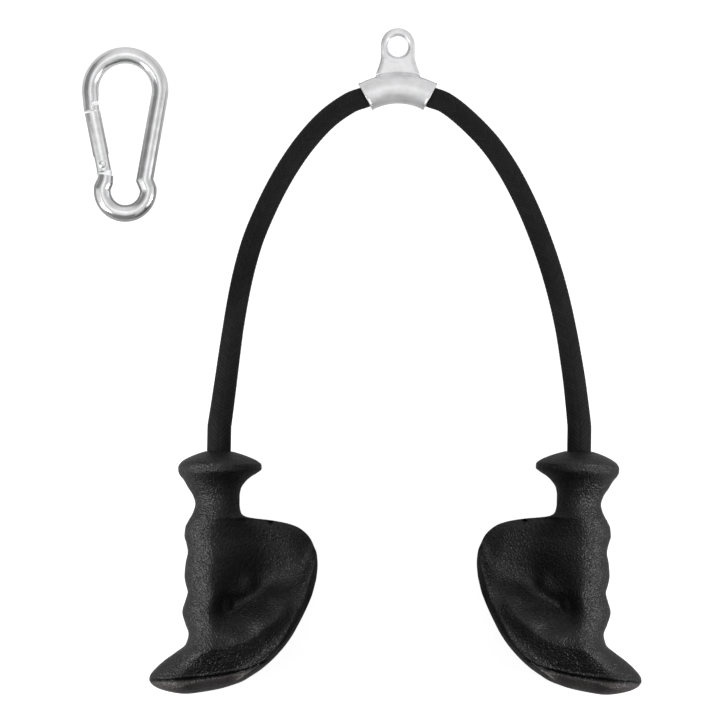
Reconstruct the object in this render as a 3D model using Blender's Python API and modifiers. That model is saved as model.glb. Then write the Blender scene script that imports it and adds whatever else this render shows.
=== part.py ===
# Triceps rope attachment: a short rope through a cast hanger, two moulded grips and a snap hook.
# The set lies flat on a table: +X right, +Y towards the hanger, +Z up, lengths in metres.
import bpy
import bmesh
import numpy as np
from math import acos, atan2, cos, hypot, pi, radians, sin, sqrt
from mathutils import Matrix, Vector

# Clearances
GAP = 0.0003
RUNNING_GAP = 0.0004
OVERRUN = 0.004
MERGE_REACH = 0.00001

# Rope
ROPE_RADIUS = 0.0062
ROPE_END_RADIUS = 0.0070
ROPE_STEP = 4 * ROPE_RADIUS
# Routes of the legs, from just outside the sleeve to just before the grip
LEFT_ROUTE = (
    (-0.0085, 0.1487, 0.0087),
    (-0.0216, 0.1395, 0.0078),
    (-0.0339, 0.1262, 0.0068),
    (-0.0437, 0.1123, 0.0064),
    (-0.0515, 0.0987, 0.0063),
    (-0.0581, 0.0850, 0.0063),
    (-0.0638, 0.0712, 0.0063),
    (-0.0680, 0.0574, 0.0063),
    (-0.0712, 0.0438, 0.0063),
    (-0.0738, 0.0300, 0.0063),
    (-0.0760, 0.0163, 0.0067),
    (-0.0779, 0.0026, 0.0080),
    (-0.0797, -0.0112, 0.0118),
    (-0.0815, -0.0249, 0.0175),
)
RIGHT_ROUTE = (
    (0.0459, 0.1487, 0.0087),
    (0.0577, 0.1396, 0.0078),
    (0.0709, 0.1261, 0.0068),
    (0.0807, 0.1124, 0.0064),
    (0.0884, 0.0987, 0.0063),
    (0.0949, 0.0849, 0.0063),
    (0.1004, 0.0712, 0.0063),
    (0.1052, 0.0575, 0.0063),
    (0.1093, 0.0437, 0.0063),
    (0.1127, 0.0300, 0.0063),
    (0.1155, 0.0164, 0.0067),
    (0.1178, 0.0026, 0.0080),
    (0.1198, -0.0112, 0.0118),
    (0.1213, -0.0249, 0.0175),
)

# Hanger casting
HANGER_X = 0.0188
BEND_Y = 0.1177
BEND_RADIUS = 0.0389
BEND_HALF_ANGLE = radians(28.6)
SLEEVE_RADIUS = 0.0087
SLEEVE_CLEARANCE = 0.0006
SLEEVE_BORE = ROPE_RADIUS + SLEEVE_CLEARANCE
MOUTH_FLARE = 0.0009
MOUTH_EDGE = 0.0005
LUG_THICKNESS = 0.0060
LUG_RADIUS = 0.0097
LUG_RISE = 0.0164
LUG_FOOT_HALF_WIDTH = 0.0126
LUG_WAIST_share = 0.56
LUG_EDGE_ROUNDING = 0.0014
EYE_RADIUS = 0.0061
EYE_SINK = 0.0012
EYE_DROP = 0.0009

# Grips
GRIP_LENGTH = 0.139
GRIP_SPAN = 0.0962
FLANGE_RADIUS = 0.0232
COLUMN_DEPTH = 0.0155
RIM_DEPTH = 0.0208
RIM_ROUNDING = 0.0046
FILLET = 0.0055
LEFT_GRIP_PLACE = (-0.0834, -0.0506)
RIGHT_GRIP_PLACE = (0.1222, -0.0506)
LEFT_GRIP_LEAN = radians(-1.0)
RIGHT_GRIP_LEAN = radians(-0.8)
COLLAR_DEPTH = 0.008
LINER_WALL = 0.0016
LINER_BORE = ROPE_RADIUS + RUNNING_GAP
RECESS_RADIUS = 0.0120
RECESS_HEIGHT = 0.035
RECESS_DEPTH = GRIP_LENGTH - RECESS_HEIGHT
WASHER_THICKNESS = 0.002
FERRULE_WALL = 0.0028
FERRULE_LENGTH = 0.0155
PLUG_THICKNESS = 0.004
PLUG_GAP = 0.002
GRIP_WALL = 0.0020
EDGE_BREAK = 0.0008

# Outline of the grip above its shoulder: height, left and right, as shares of the grip's length
# and of the flange's radius
UPPER_OUTLINE_shares = (
    (0.000, -0.414, 0.414),
    (0.009, -0.545, 0.545),
    (0.021, -0.695, 0.695),
    (0.037, -0.870, 0.875),
    (0.053, -0.972, 0.985),
    (0.070, -1.000, 1.000),
    (0.086, -0.983, 0.914),
    (0.103, -0.935, 0.763),
    (0.119, -0.862, 0.642),
    (0.153, -0.741, 0.500),
    (0.185, -0.616, 0.470),
    (0.218, -0.569, 0.470),
)
# The same from the shoulder down, as shares of the grip's length and span
LOWER_OUTLINE_shares = (
    (0.251, -0.149, 0.125),
    (0.267, -0.159, 0.142),
    (0.277, -0.166, 0.190),
    (0.284, -0.173, 0.291),
    (0.301, -0.184, 0.416),
    (0.317, -0.196, 0.476),
    (0.350, -0.202, 0.535),
    (0.383, -0.190, 0.559),
    (0.416, -0.184, 0.577),
    (0.460, -0.195, 0.584),
    (0.514, -0.202, 0.577),
    (0.547, -0.196, 0.564),
    (0.581, -0.184, 0.553),
    (0.613, -0.196, 0.535),
    (0.662, -0.212, 0.503),
    (0.712, -0.196, 0.464),
    (0.752, -0.178, 0.432),
    (0.794, -0.190, 0.393),
    (0.827, -0.256, 0.350),
    (0.860, -0.321, 0.304),
    (0.893, -0.374, 0.249),
    (0.926, -0.411, 0.179),
    (0.942, -0.416, 0.142),
    (0.959, -0.404, 0.083),
    (0.976, -0.369, 0.006),
    (0.992, -0.291, -0.113),
    (1.000, -0.204, -0.202),
)
# Rim of the base: place across as a share of the span, height and near depth
RIM_LINE_shares = (
    (-0.416, 0.942, 1.00),
    (-0.114, 0.926, 1.00),
    (0.146, 0.892, 1.00),
    (0.270, 0.849, 0.97),
    (0.395, 0.777, 0.82),
    (0.478, 0.676, 0.63),
    (0.530, 0.561, 0.48),
    (0.561, 0.475, 0.30),
    (0.590, 0.300, 0.10),
)
# Far side of the same rim, which runs out where the palm rest begins
FAR_RIM_shares = (
    (-0.416, 1.00),
    (0.200, 1.00),
    (0.270, 0.88),
    (0.350, 0.40),
    (0.430, -0.60),
    (0.600, -1.20),
)
# Palm rest: height, then floor, front edge, back edge and deepest back as shares of the flange radius
PALM_REST_shares = (
    (0.250, -0.08, 0.05, -0.28, 0.24),
    (0.300, -0.20, 0.07, -0.28, 0.42),
    (0.345, -0.31, 0.13, -0.25, 0.62),
    (0.430, -0.42, 0.23, -0.15, 0.84),
    (0.540, -0.46, 0.40, 0.03, 0.95),
    (0.630, -0.40, 0.52, 0.10, 0.97),
    (0.700, -0.20, 0.60, 0.04, 0.97),
    (0.760, 0.10, 0.70, -0.26, 0.96),
    (0.820, 0.35, 0.80, -0.70, 0.92),
    (0.880, 0.50, 0.86, -0.86, 0.86),
    (1.000, 0.50, 0.88, -0.84, 0.84),
)
# Where the floor of the palm rest is deepest, across the span
PALM_VALLEY_shares = (
    (0.250, 0.30),
    (0.500, 0.31),
    (0.630, 0.28),
    (0.730, 0.22),
    (0.820, 0.12),
    (1.000, 0.05),
)
# Top edge of the palm rest: place across, height
TOP_EDGE_shares = (
    (0.090, 0.200),
    (0.125, 0.251),
    (0.145, 0.268),
    (0.190, 0.277),
    (0.291, 0.284),
    (0.416, 0.301),
    (0.476, 0.317),
    (0.535, 0.350),
    (0.559, 0.383),
    (0.577, 0.416),
    (0.590, 0.440),
)
# Swells and hollows of the palm side: place across, height, reach across, reach along, rise
PALM_SWELL_shares = (
    (0.045, 0.625, 0.075, 0.085, -0.17),
    (0.165, 0.560, 0.065, 0.040, 0.07),
    (0.290, 0.590, 0.060, 0.045, 0.08),
    (0.215, 0.690, 0.055, 0.040, 0.10),
    (0.090, 0.745, 0.070, 0.035, 0.10),
)
PALM_BACK_share = 0.24
PALM_FLOOR_POWER_share = 2.3
PALM_BACK_POWER_share = 2.2
HEEL_BACK_POWER_share = 1.5
RIM_SLOPE_share = 1.15
COLUMN_FALL_share = 0.80
COLUMN_HALF_WIDTH_share = 0.150
HEEL_share = -0.03
REST_EDGE_share = 0.09
BASE_shares = (0.94, 0.46)
EDGE_CROWDING_share = 0.75
GRIP_STATION_shares = (
    0.000, 0.009, 0.021, 0.037, 0.053, 0.070, 0.086, 0.103, 0.119, 0.153, 0.185, 0.218, 0.251,
    0.267, 0.277, 0.284, 0.292, 0.301, 0.317, 0.350, 0.383, 0.416, 0.460, 0.514, 0.547, 0.581,
    0.613, 0.662, 0.712, 0.752, 0.794, 0.827, 0.860, 0.893, 0.926, 0.942, 0.959, 0.976, 0.992,
    0.998,
)
GRIP_POINTS = 16

# Snap hook, laid beside the rope
HOOK_PLACE = (-0.1373, 0.0985)
WIRE_RADIUS = 0.0048
HOOK_EYE_RADIUS = 0.0132
HOOK_BOW_RADIUS = 0.0200
HOOK_THROAT = 0.0374
HOOK_BOW_RISE = HOOK_THROAT + HOOK_BOW_RADIUS
NECK_PLACE = (0.0111, 0.0059)
STUB_FOOT = (-0.0116, 0.0050)
STUB_TOP = (-0.0110, 0.0089)
STUB_RADIUS = 0.0042
NOSE_TIP = (-0.0190, 0.0455)
NOSE_RADIUS = 0.0046
GATE_PIVOT = (-0.0128, 0.0150)
GATE_LEAN = radians(11.3)
GATE_LENGTH = 0.0305
GATE_TAIL = 0.0038
GATE_RADIUS = 0.0045
GATE_BORE = 0.0033
GATE_BORE_DEPTH = 0.0166
TONGUE_THICKNESS = 0.0036
TONGUE_HALF_WIDTH = 0.0026
TONGUE_REACH = 0.0035
FORK_REACH = hypot(TONGUE_HALF_WIDTH, TONGUE_REACH) + RUNNING_GAP
RIVET_RADIUS = 0.0016
RIVET_HEAD_RADIUS = 0.0022
RIVET_CROWN_share = 0.6
RIVET_HEAD_THICKNESS = 0.0005
LATCH_THICKNESS = 0.0030
LATCH_WIDTH = 0.0044
LATCH_LENGTH = 0.0078
LATCH_OFFSET = 0.0019
LATCH_PIN_RADIUS = 0.0007
LATCH_PIN_RISE = 0.0047
LATCH_PIN_OFFSET = 0.0014
LATCH_PIN_LENGTH = 0.0064
NECK_ANGLES = (radians(4), radians(-187))
PLUNGER_RADIUS = GATE_BORE - RUNNING_GAP
PLUNGER_LENGTH = 0.0030
SPRING_WIRE = 0.0004
SPRING_TURNS = 6


class ShareCurve:
    """A smooth curve through a table's points that never swings past them."""

    def __init__(self, rows, column=1):
        self.x = np.array([row[0] for row in rows])
        self.y = np.array([row[column] for row in rows])
        steps = np.diff(self.y) / np.diff(self.x)
        self.slope = np.zeros(len(rows))
        self.slope[0] = steps[0]
        self.slope[-1] = steps[-1]
        for i in range(1, len(rows) - 1):
            if steps[i - 1] * steps[i] > 0:
                self.slope[i] = 2 * steps[i - 1] * steps[i] / (steps[i - 1] + steps[i])

    def __call__(self, at):
        at = min(max(at, self.x[0]), self.x[-1])
        i = min(int(np.searchsorted(self.x, at, side="right")) - 1, len(self.x) - 2)
        span = self.x[i + 1] - self.x[i]
        t = (at - self.x[i]) / span
        start = (1 + 2 * t) * (1 - t) ** 2 * self.y[i] + t * (1 - t) ** 2 * span * self.slope[i]
        end = t * t * (3 - 2 * t) * self.y[i + 1] + t * t * (t - 1) * span * self.slope[i + 1]
        return start + end


def scaled(rows, *units):
    """A table of shares in metres, each column times its own size."""
    return [tuple(value * unit for value, unit in zip(row, units)) for row in rows]


OUTLINE = scaled(UPPER_OUTLINE_shares, GRIP_LENGTH, FLANGE_RADIUS, FLANGE_RADIUS)
OUTLINE += scaled(LOWER_OUTLINE_shares, GRIP_LENGTH, GRIP_SPAN, GRIP_SPAN)
outline_left = ShareCurve(OUTLINE, 1)
outline_right = ShareCurve(OUTLINE, 2)
RIM_LINE = scaled(RIM_LINE_shares, GRIP_SPAN, GRIP_LENGTH, RIM_DEPTH)
rim_height = ShareCurve(RIM_LINE, 1)
rim_depth = ShareCurve(RIM_LINE, 2)
far_rim_depth = ShareCurve(scaled(FAR_RIM_shares, GRIP_SPAN, RIM_DEPTH))
PALM_REST = scaled(PALM_REST_shares, GRIP_LENGTH, *[FLANGE_RADIUS] * 4)
palm_floor = ShareCurve(PALM_REST, 1)
palm_front = ShareCurve(PALM_REST, 2)
palm_edge = ShareCurve(PALM_REST, 3)
palm_back = ShareCurve(PALM_REST, 4)
palm_valley = ShareCurve(scaled(PALM_VALLEY_shares, GRIP_LENGTH, GRIP_SPAN))
top_edge = ShareCurve(scaled(TOP_EDGE_shares, GRIP_SPAN, GRIP_LENGTH))
base_bottom = ShareCurve(
    [(row[1], row[0]) for row in OUTLINE if row[0] >= BASE_shares[0] * GRIP_LENGTH]
    + [(row[2], row[0]) for row in reversed(OUTLINE) if row[0] >= BASE_shares[1] * GRIP_LENGTH]
)


def soft_max(a, b):
    """The larger of two heights, with a fillet where they cross."""
    return (a + b + sqrt((a - b) ** 2 + FILLET**2)) / 2


def edge_round(distance, reach):
    """A quarter round: 0 at an edge, 1 from the reach on."""
    t = min(max(distance / reach, 0), 1)
    return sqrt(1 - (1 - t) ** 2)


def palm_heights(u, v, left, right):
    """Front and back of the grip at a place across and a height, before its edges are rounded."""
    column_half = COLUMN_HALF_WIDTH_share * GRIP_SPAN
    column = left + column_half
    x = max((u - column) / column_half, 0)
    front_column = COLUMN_DEPTH * (1 - COLUMN_FALL_share * x * x)
    floor = palm_floor(v)
    valley = palm_valley(v)
    edge = right - RIM_ROUNDING
    back_at = PALM_BACK_share * GRIP_SPAN
    if u > valley:
        rise = min((u - valley) / max(edge - valley, RIM_ROUNDING), 1)
        dish = floor + (palm_front(v) - floor) * rise**PALM_FLOOR_POWER_share
    else:
        dish = floor + FILLET * ((valley - u) / GRIP_SPAN) ** 2
    if u > back_at:
        turn = min((u - back_at) / max(edge - back_at, RIM_ROUNDING), 1)
        turn = turn**PALM_BACK_POWER_share
        back_rest = palm_back(v) - (palm_back(v) + palm_edge(v)) * turn
    else:
        turn = min((back_at - u) / (back_at - left), 1) ** HEEL_BACK_POWER_share
        back_rest = palm_back(v) * (1 - turn) + turn * min(palm_back(v), COLUMN_DEPTH)
    above = rim_height(u) - v
    drop = RIM_SLOPE_share * above**2 / (above + RIM_ROUNDING) if above > 0 else 0
    front = soft_max(soft_max(front_column, dish), rim_depth(u) - drop)
    back = soft_max(soft_max(front_column, back_rest), far_rim_depth(u) - drop)
    for across, along, wide, long, rise in PALM_SWELL_shares:
        away = ((u / GRIP_SPAN - across) / wide) ** 2 + ((v / GRIP_LENGTH - along) / long) ** 2
        front += rise * FLANGE_RADIUS * np.exp(-away)
    wall = (LINER_BORE + LINER_WALL + GRIP_WALL) ** 2 - u * u
    if wall > 0:
        front = max(front, sqrt(wall))
        back = max(back, sqrt(wall))
    return front, -back


def palm_edges(u, v, left, right):
    """How far the rounding at the outline has closed, from 0 on the outline to 1 inside it."""
    column = left + COLUMN_HALF_WIDTH_share * GRIP_SPAN
    heel = HEEL_share * GRIP_SPAN
    closed = [edge_round(u - left, max(column, heel) - left)]
    closed.append(edge_round(right - u, RIM_ROUNDING))
    top = top_edge(u)
    if u > REST_EDGE_share * GRIP_SPAN:
        closed.append(edge_round(v - top, RIM_ROUNDING))
    past = v - rim_height(u)
    if past > 0:
        closed.append(edge_round(base_bottom(u) - v, max(base_bottom(u) - rim_height(u), GAP)))
    return min(closed)


def grip_ring(v):
    """One section across the grip, as points (across, out), front from left to right and back."""
    left = outline_left(v)
    right = outline_right(v)
    middle = (left + right) / 2
    half = (right - left) / 2
    start = LOWER_OUTLINE_shares[0][0] * GRIP_LENGTH
    end = LOWER_OUTLINE_shares[2][0] * GRIP_LENGTH
    blend = min(max((v - start) / (end - start), 0), 1)
    front = []
    back = []
    for k in range(GRIP_POINTS + 1):
        even = k / GRIP_POINTS
        share = EDGE_CROWDING_share * (1 - cos(pi * even)) / 2 + (1 - EDGE_CROWDING_share) * even
        u = left + (right - left) * share
        round_out = sqrt(max(half**2 - (u - middle) ** 2, 0))
        high, low = round_out, -round_out
        if blend > 0:
            top, bottom = palm_heights(u, v, left, right)
            closed = palm_edges(u, v, left, right)
            centre = (top + bottom) / 2
            thick = (top - bottom) / 2 * closed
            high = (1 - blend) * high + blend * (centre + thick)
            low = (1 - blend) * low + blend * (centre - thick)
        front.append((u, high))
        back.append((u, low))
    return front + back[-2:0:-1]


def clear_scene():
    for item in list(bpy.data.objects):
        bpy.data.objects.remove(item)


def new_collection(name, hidden=False):
    made = bpy.data.collections.new(name)
    bpy.context.scene.collection.children.link(made)
    made.hide_render = hidden
    return made


def new_material(name, color, roughness, metallic):
    made = bpy.data.materials.new(name)
    made.use_nodes = True
    made.diffuse_color = (*color, 1)
    shader = made.node_tree.nodes["Principled BSDF"]
    shader.inputs["Base Color"].default_value = (*color, 1)
    shader.inputs["Roughness"].default_value = roughness
    shader.inputs["Metallic"].default_value = metallic
    return made


def add_object(name, data, material=None, parent=None, place=(0, 0, 0), turn=(0, 0, 0)):
    """A named object under its parent, at a place in the parent's own axes."""
    made = bpy.data.objects.new(name, data)
    PARTS.objects.link(made)
    made.parent = parent
    made.location = place
    made.rotation_euler = turn
    if material:
        data.materials.append(material)
    return made


def add_pivot(name, place, parent=None, turn=(0, 0, 0)):
    """An empty on a joint's axis, which carries the pieces that move with it."""
    made = add_object(name, None, None, parent, place, turn)
    made.empty_display_size = ROPE_RADIUS
    return made


def smooth_shade(mesh):
    mesh.shade_smooth()
    mesh.set_sharp_from_angle(angle=radians(35))


def mesh_from(bm, name):
    mesh = bpy.data.meshes.new(name)
    bm.to_mesh(mesh)
    bm.free()
    smooth_shade(mesh)
    return mesh


def tube_curve(name, points, radius, radii=None, sides=12):
    """A round bar along points, with filled ends and a radius share at each point."""
    curve = bpy.data.curves.new(name, "CURVE")
    curve.dimensions = "3D"
    curve.bevel_depth = radius
    curve.bevel_resolution = (sides - 4) // 2
    curve.use_fill_caps = True
    spline = curve.splines.new("POLY")
    spline.points.add(len(points) - 1)
    for k, point in enumerate(points):
        spline.points[k].co = (*point, 1)
        spline.points[k].radius = radii[k] / radius if radii else 1
    return curve


def tube_mesh(name, points, radius, radii=None, sides=12):
    """The same bar as a closed mesh, for cutting and joining."""
    guide = bpy.data.objects.new(name, tube_curve(name, points, radius, radii, sides))
    bpy.context.scene.collection.objects.link(guide)
    bpy.context.view_layer.update()
    graph = bpy.context.evaluated_depsgraph_get()
    mesh = bpy.data.meshes.new_from_object(guide.evaluated_get(graph))
    curve = guide.data
    bpy.data.objects.remove(guide)
    bpy.data.curves.remove(curve)
    bm = bmesh.new()
    bm.from_mesh(mesh)
    bpy.data.meshes.remove(mesh)
    bmesh.ops.remove_doubles(bm, verts=bm.verts, dist=MERGE_REACH)
    bmesh.ops.recalc_face_normals(bm, faces=bm.faces)
    return mesh_from(bm, name)


def turned_object(name, profile, material, parent, place=(0, 0, 0), ring=False, steps=24):
    """A profile of (radius, height) points, from the top down, turned about the local Z axis."""
    mesh = bpy.data.meshes.new(name)
    edges = [(k, k + 1) for k in range(len(profile) - 1)]
    if ring:
        edges.append((len(profile) - 1, 0))
    mesh.from_pydata([(radius, 0, height) for radius, height in profile], edges, [])
    made = add_object(name, mesh, material, parent, place)
    screw = made.modifiers.new("turning", "SCREW")
    screw.steps = steps
    screw.render_steps = steps
    screw.use_merge_vertices = True
    screw.merge_threshold = MERGE_REACH
    screw.use_smooth_shade = False
    return made


def move_to_cutters(item):
    """Keeps a cutter or guide out of the finished part."""
    PARTS.objects.unlink(item)
    CUTTERS.objects.link(item)
    item.hide_render = True
    item.display_type = "WIRE"


def box_bmesh(low, high):
    bm = bmesh.new()
    size = Vector(high) - Vector(low)
    middle = (Vector(high) + Vector(low)) / 2
    bmesh.ops.create_cube(bm, size=1, matrix=Matrix.Translation(middle) @ Matrix.Diagonal((*size, 1)))
    return bm


def rod_bmesh(radius, low, high, centre=(0, 0), sides=20, along_y=False):
    """A cylinder between two heights along local Z, or along local Y."""
    bm = bmesh.new()
    bmesh.ops.create_cone(
        bm, cap_ends=True, segments=sides, radius1=radius, radius2=radius, depth=high - low,
        matrix=Matrix.Translation((*centre, (low + high) / 2)),
    )
    if along_y:
        bmesh.ops.rotate(bm, verts=bm.verts, matrix=Matrix.Rotation(-pi / 2, 3, "X"))
    return bm


def add_boolean(item, other, operation):
    cut = item.modifiers.new(operation.lower(), "BOOLEAN")
    cut.operation = operation
    cut.solver = "EXACT"
    cut.object = other


def cut_with(item, bm, name, parent=None, place=(0, 0, 0), turn=(0, 0, 0), operation="DIFFERENCE"):
    """Cuts a piece with a closed shape, or joins the shape to it."""
    other = add_object(name, mesh_from(bm, name), None, parent, place, turn)
    move_to_cutters(other)
    add_boolean(item, other, operation)
    return other


def smooth_route(points, step):
    """Points about a step apart, read from one smooth curve through the points given."""
    read = []
    fine = 12
    for k in range(len(points) - 1):
        a, b = points[k], points[k + 1]
        before = points[k - 1] if k else a + (a - b)
        after = points[k + 2] if k + 2 < len(points) else b + (b - a)
        span = (b - a).length
        leave = (b - before) / ((b - a).length + (a - before).length) * span
        arrive = (after - a) / ((after - b).length + span) * span
        for j in range(fine):
            t = j / fine
            read.append(
                a * (1 + 2 * t) * (1 - t) ** 2 + leave * t * (1 - t) ** 2
                + b * t * t * (3 - 2 * t) + arrive * t * t * (t - 1)
            )
    read.append(points[-1])
    along = [0]
    for a, b in zip(read, read[1:]):
        along.append(along[-1] + (b - a).length)
    count = round(along[-1] / step)
    spaced = []
    for k in range(count + 1):
        at = along[-1] * k / count
        i = min(int(np.searchsorted(along, at, side="right")) - 1, len(read) - 2)
        spaced.append(read[i].lerp(read[i + 1], (at - along[i]) / (along[i + 1] - along[i])))
    return spaced


def bend_point(angle, radius=BEND_RADIUS):
    """A point of the sleeve's bend, from the middle of its circle."""
    return Vector((radius * sin(angle), radius * cos(angle), 0))


def bend_points(half_angle, steps=12):
    return [bend_point(half_angle * (2 * k / steps - 1)) for k in range(steps + 1)]


def lug_outline():
    """Half of the lug's outline, from its foot inside the sleeve up to its top."""
    crown = BEND_RADIUS + SLEEVE_RADIUS
    top = crown + LUG_RISE
    points = [(LUG_FOOT_HALF_WIDTH, BEND_RADIUS)]
    for k in range(5):
        flare = (LUG_FOOT_HALF_WIDTH - LUG_RADIUS) * (1 - k / 4) ** 2
        points.append((LUG_RADIUS + flare, crown + LUG_RISE * LUG_WAIST_share * k / 4))
    for k in range(9):
        angle = pi / 2 * k / 8
        points.append((LUG_RADIUS * cos(angle), top + LUG_RADIUS * sin(angle)))
    return points


def lug_mesh():
    half = lug_outline()
    points = half + [(-x, y) for x, y in half[-2::-1]]
    curve = bpy.data.curves.new("lug_outline", "CURVE")
    curve.dimensions = "2D"
    curve.fill_mode = "BOTH"
    curve.extrude = LUG_THICKNESS / 2 - LUG_EDGE_ROUNDING
    curve.bevel_depth = LUG_EDGE_ROUNDING
    curve.bevel_resolution = 1
    curve.offset = -LUG_EDGE_ROUNDING
    spline = curve.splines.new("POLY")
    spline.points.add(len(points) - 1)
    for point, (x, y) in zip(spline.points, points):
        point.co = (x, y, 0, 1)
    spline.use_cyclic_u = True
    guide = bpy.data.objects.new("lug_outline", curve)
    bpy.context.scene.collection.objects.link(guide)
    bpy.context.view_layer.update()
    graph = bpy.context.evaluated_depsgraph_get()
    mesh = bpy.data.meshes.new_from_object(guide.evaluated_get(graph))
    bpy.data.objects.remove(guide)
    bpy.data.curves.remove(curve)
    bm = bmesh.new()
    bm.from_mesh(mesh)
    bpy.data.meshes.remove(mesh)
    bmesh.ops.remove_doubles(bm, verts=bm.verts, dist=MERGE_REACH)
    bmesh.ops.recalc_face_normals(bm, faces=bm.faces)
    return bm


def make_hanger(metal, cord):
    """The casting with its eye and its curved sleeve, and the middle of the rope inside it."""
    place = (HANGER_X, BEND_Y, SLEEVE_RADIUS)
    edge_angle = MOUTH_EDGE / BEND_RADIUS
    points = bend_points(BEND_HALF_ANGLE - edge_angle)
    points = [bend_point(-BEND_HALF_ANGLE)] + points + [bend_point(BEND_HALF_ANGLE)]
    radii = [SLEEVE_RADIUS] * len(points)
    radii[0] = radii[-1] = SLEEVE_RADIUS - MOUTH_EDGE
    sleeve = tube_mesh("hanger_casting", points, SLEEVE_RADIUS, radii, sides=28)
    hanger = add_object("hanger_casting", sleeve, metal, None, place)
    cut_with(hanger, lug_mesh(), "lug", None, place, operation="UNION")
    flare_angle = 2 * MOUTH_FLARE / BEND_RADIUS
    end = bend_point(BEND_HALF_ANGLE)
    run = end + bend_point(BEND_HALF_ANGLE + pi / 2, OVERRUN)
    points = bend_points(BEND_HALF_ANGLE - flare_angle) + [end, run]
    points = [Vector((-run.x, run.y, 0)), Vector((-end.x, end.y, 0))] + points
    radii = [SLEEVE_BORE] * len(points)
    radii[:2] = radii[-2:] = [SLEEVE_BORE + MOUTH_FLARE] * 2
    bore = add_object("sleeve_bore", tube_mesh("sleeve_bore", points, SLEEVE_BORE, radii, 24))
    bore.location = place
    move_to_cutters(bore)
    add_boolean(hanger, bore, "DIFFERENCE")
    half = LUG_THICKNESS / 2
    wide = EYE_RADIUS + EYE_SINK
    eye_profile = [
        (0, half + OVERRUN),
        (wide + OVERRUN, half + OVERRUN),
        (EYE_RADIUS, half - EYE_SINK),
        (EYE_RADIUS, EYE_SINK - half),
        (wide + OVERRUN, -half - OVERRUN),
        (0, -half - OVERRUN),
    ]
    eye_y = BEND_Y + BEND_RADIUS + SLEEVE_RADIUS + LUG_RISE - EYE_DROP
    eye = turned_object("eye", eye_profile, None, None, (HANGER_X, eye_y, SLEEVE_RADIUS), steps=32)
    move_to_cutters(eye)
    add_boolean(hanger, eye, "DIFFERENCE")
    clear_angle = (ROPE_RADIUS + 2 * GAP) / BEND_RADIUS
    centre = tube_curve("rope_center", bend_points(BEND_HALF_ANGLE - clear_angle, 8), ROPE_RADIUS)
    add_object("rope_center", centre, cord, None, place)


def make_leg(side, route, grip_place, lean, mirror, cord, metal):
    """One leg of the rope, turning at the sleeve's mouth, with the washer and ferrule on its end."""
    mouth_angle = -BEND_HALF_ANGLE if mirror else BEND_HALF_ANGLE
    pivot_place = Vector((HANGER_X, BEND_Y, SLEEVE_RADIUS)) + bend_point(mouth_angle)
    leave = bend_point(BEND_HALF_ANGLE + pi / 2, 1)
    if mirror:
        leave.x = -leave.x
    pivot = add_pivot(f"{side}_leg_pivot", pivot_place)
    grip_top = Vector((*grip_place, FLANGE_RADIUS))
    axis = Vector((-sin(lean), cos(lean), 0))
    entry = 2 * ROPE_END_RADIUS
    middle = [pivot_place] + [Vector(point) for point in route] + [grip_top + entry * axis]
    points = []
    radii = []
    for angle in (radians(18), radians(40), radians(64)):
        points.append(pivot_place - leave * ROPE_RADIUS * cos(angle))
        radii.append(ROPE_RADIUS * sin(angle))
    for point in smooth_route(middle, ROPE_STEP):
        swell = min(max(1 - ((point - grip_top).length - entry) / (4 * entry), 0), 1)
        points.append(point)
        radii.append(ROPE_RADIUS + (ROPE_END_RADIUS - ROPE_RADIUS) * swell)
    end = RECESS_DEPTH + WASHER_THICKNESS + FERRULE_LENGTH
    for along, radius in (
        (ROPE_END_RADIUS - COLLAR_DEPTH, ROPE_END_RADIUS),
        (-COLLAR_DEPTH, ROPE_RADIUS),
        (-end, ROPE_RADIUS),
    ):
        points.append(grip_top + axis * along)
        radii.append(radius)
    points = [point - pivot_place for point in points]
    rope = tube_curve(f"rope_{side}", points, ROPE_RADIUS, radii)
    add_object(f"rope_{side}", rope, cord, pivot)
    grip_axis = add_pivot(
        f"{side}_rope_end", grip_top - pivot_place, pivot, (-pi / 2, 0, lean)
    )
    washer_top = -RECESS_DEPTH - GAP
    washer_low = washer_top - WASHER_THICKNESS
    outer = RECESS_RADIUS - RUNNING_GAP
    inner = ROPE_RADIUS + GAP
    washer = [(outer, washer_top), (outer, washer_low), (inner, washer_low), (inner, washer_top)]
    turned_object(f"washer_{side}", washer, metal, grip_axis, ring=True)
    top = washer_low - GAP
    low = top - FERRULE_LENGTH
    outer = inner + FERRULE_WALL
    edge = EDGE_BREAK
    ferrule = [
        (outer - edge, top),
        (outer, top - edge),
        (outer, low + edge),
        (outer - edge, low),
        (inner, low),
        (inner, top),
    ]
    turned_object(f"ferrule_{side}", ferrule, metal, grip_axis, ring=True)
    return pivot, grip_top - pivot_place


def grip_mesh(name, mirror):
    """The moulded grip as sections joined from its collar to its base, before it is bored."""
    bm = bmesh.new()
    rings = []
    for share in GRIP_STATION_shares:
        v = share * GRIP_LENGTH
        points = grip_ring(v)
        rings.append([bm.verts.new((-u if mirror else u, -w, -v)) for u, w in points])
    for upper, lower in zip(rings, rings[1:]):
        for k in range(len(upper)):
            after = (k + 1) % len(upper)
            bm.faces.new((upper[k], upper[after], lower[after], lower[k]))
    bm.faces.new(rings[0])
    bm.faces.new(reversed(rings[-1]))
    bmesh.ops.recalc_face_normals(bm, faces=bm.faces)
    return mesh_from(bm, name)


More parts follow.
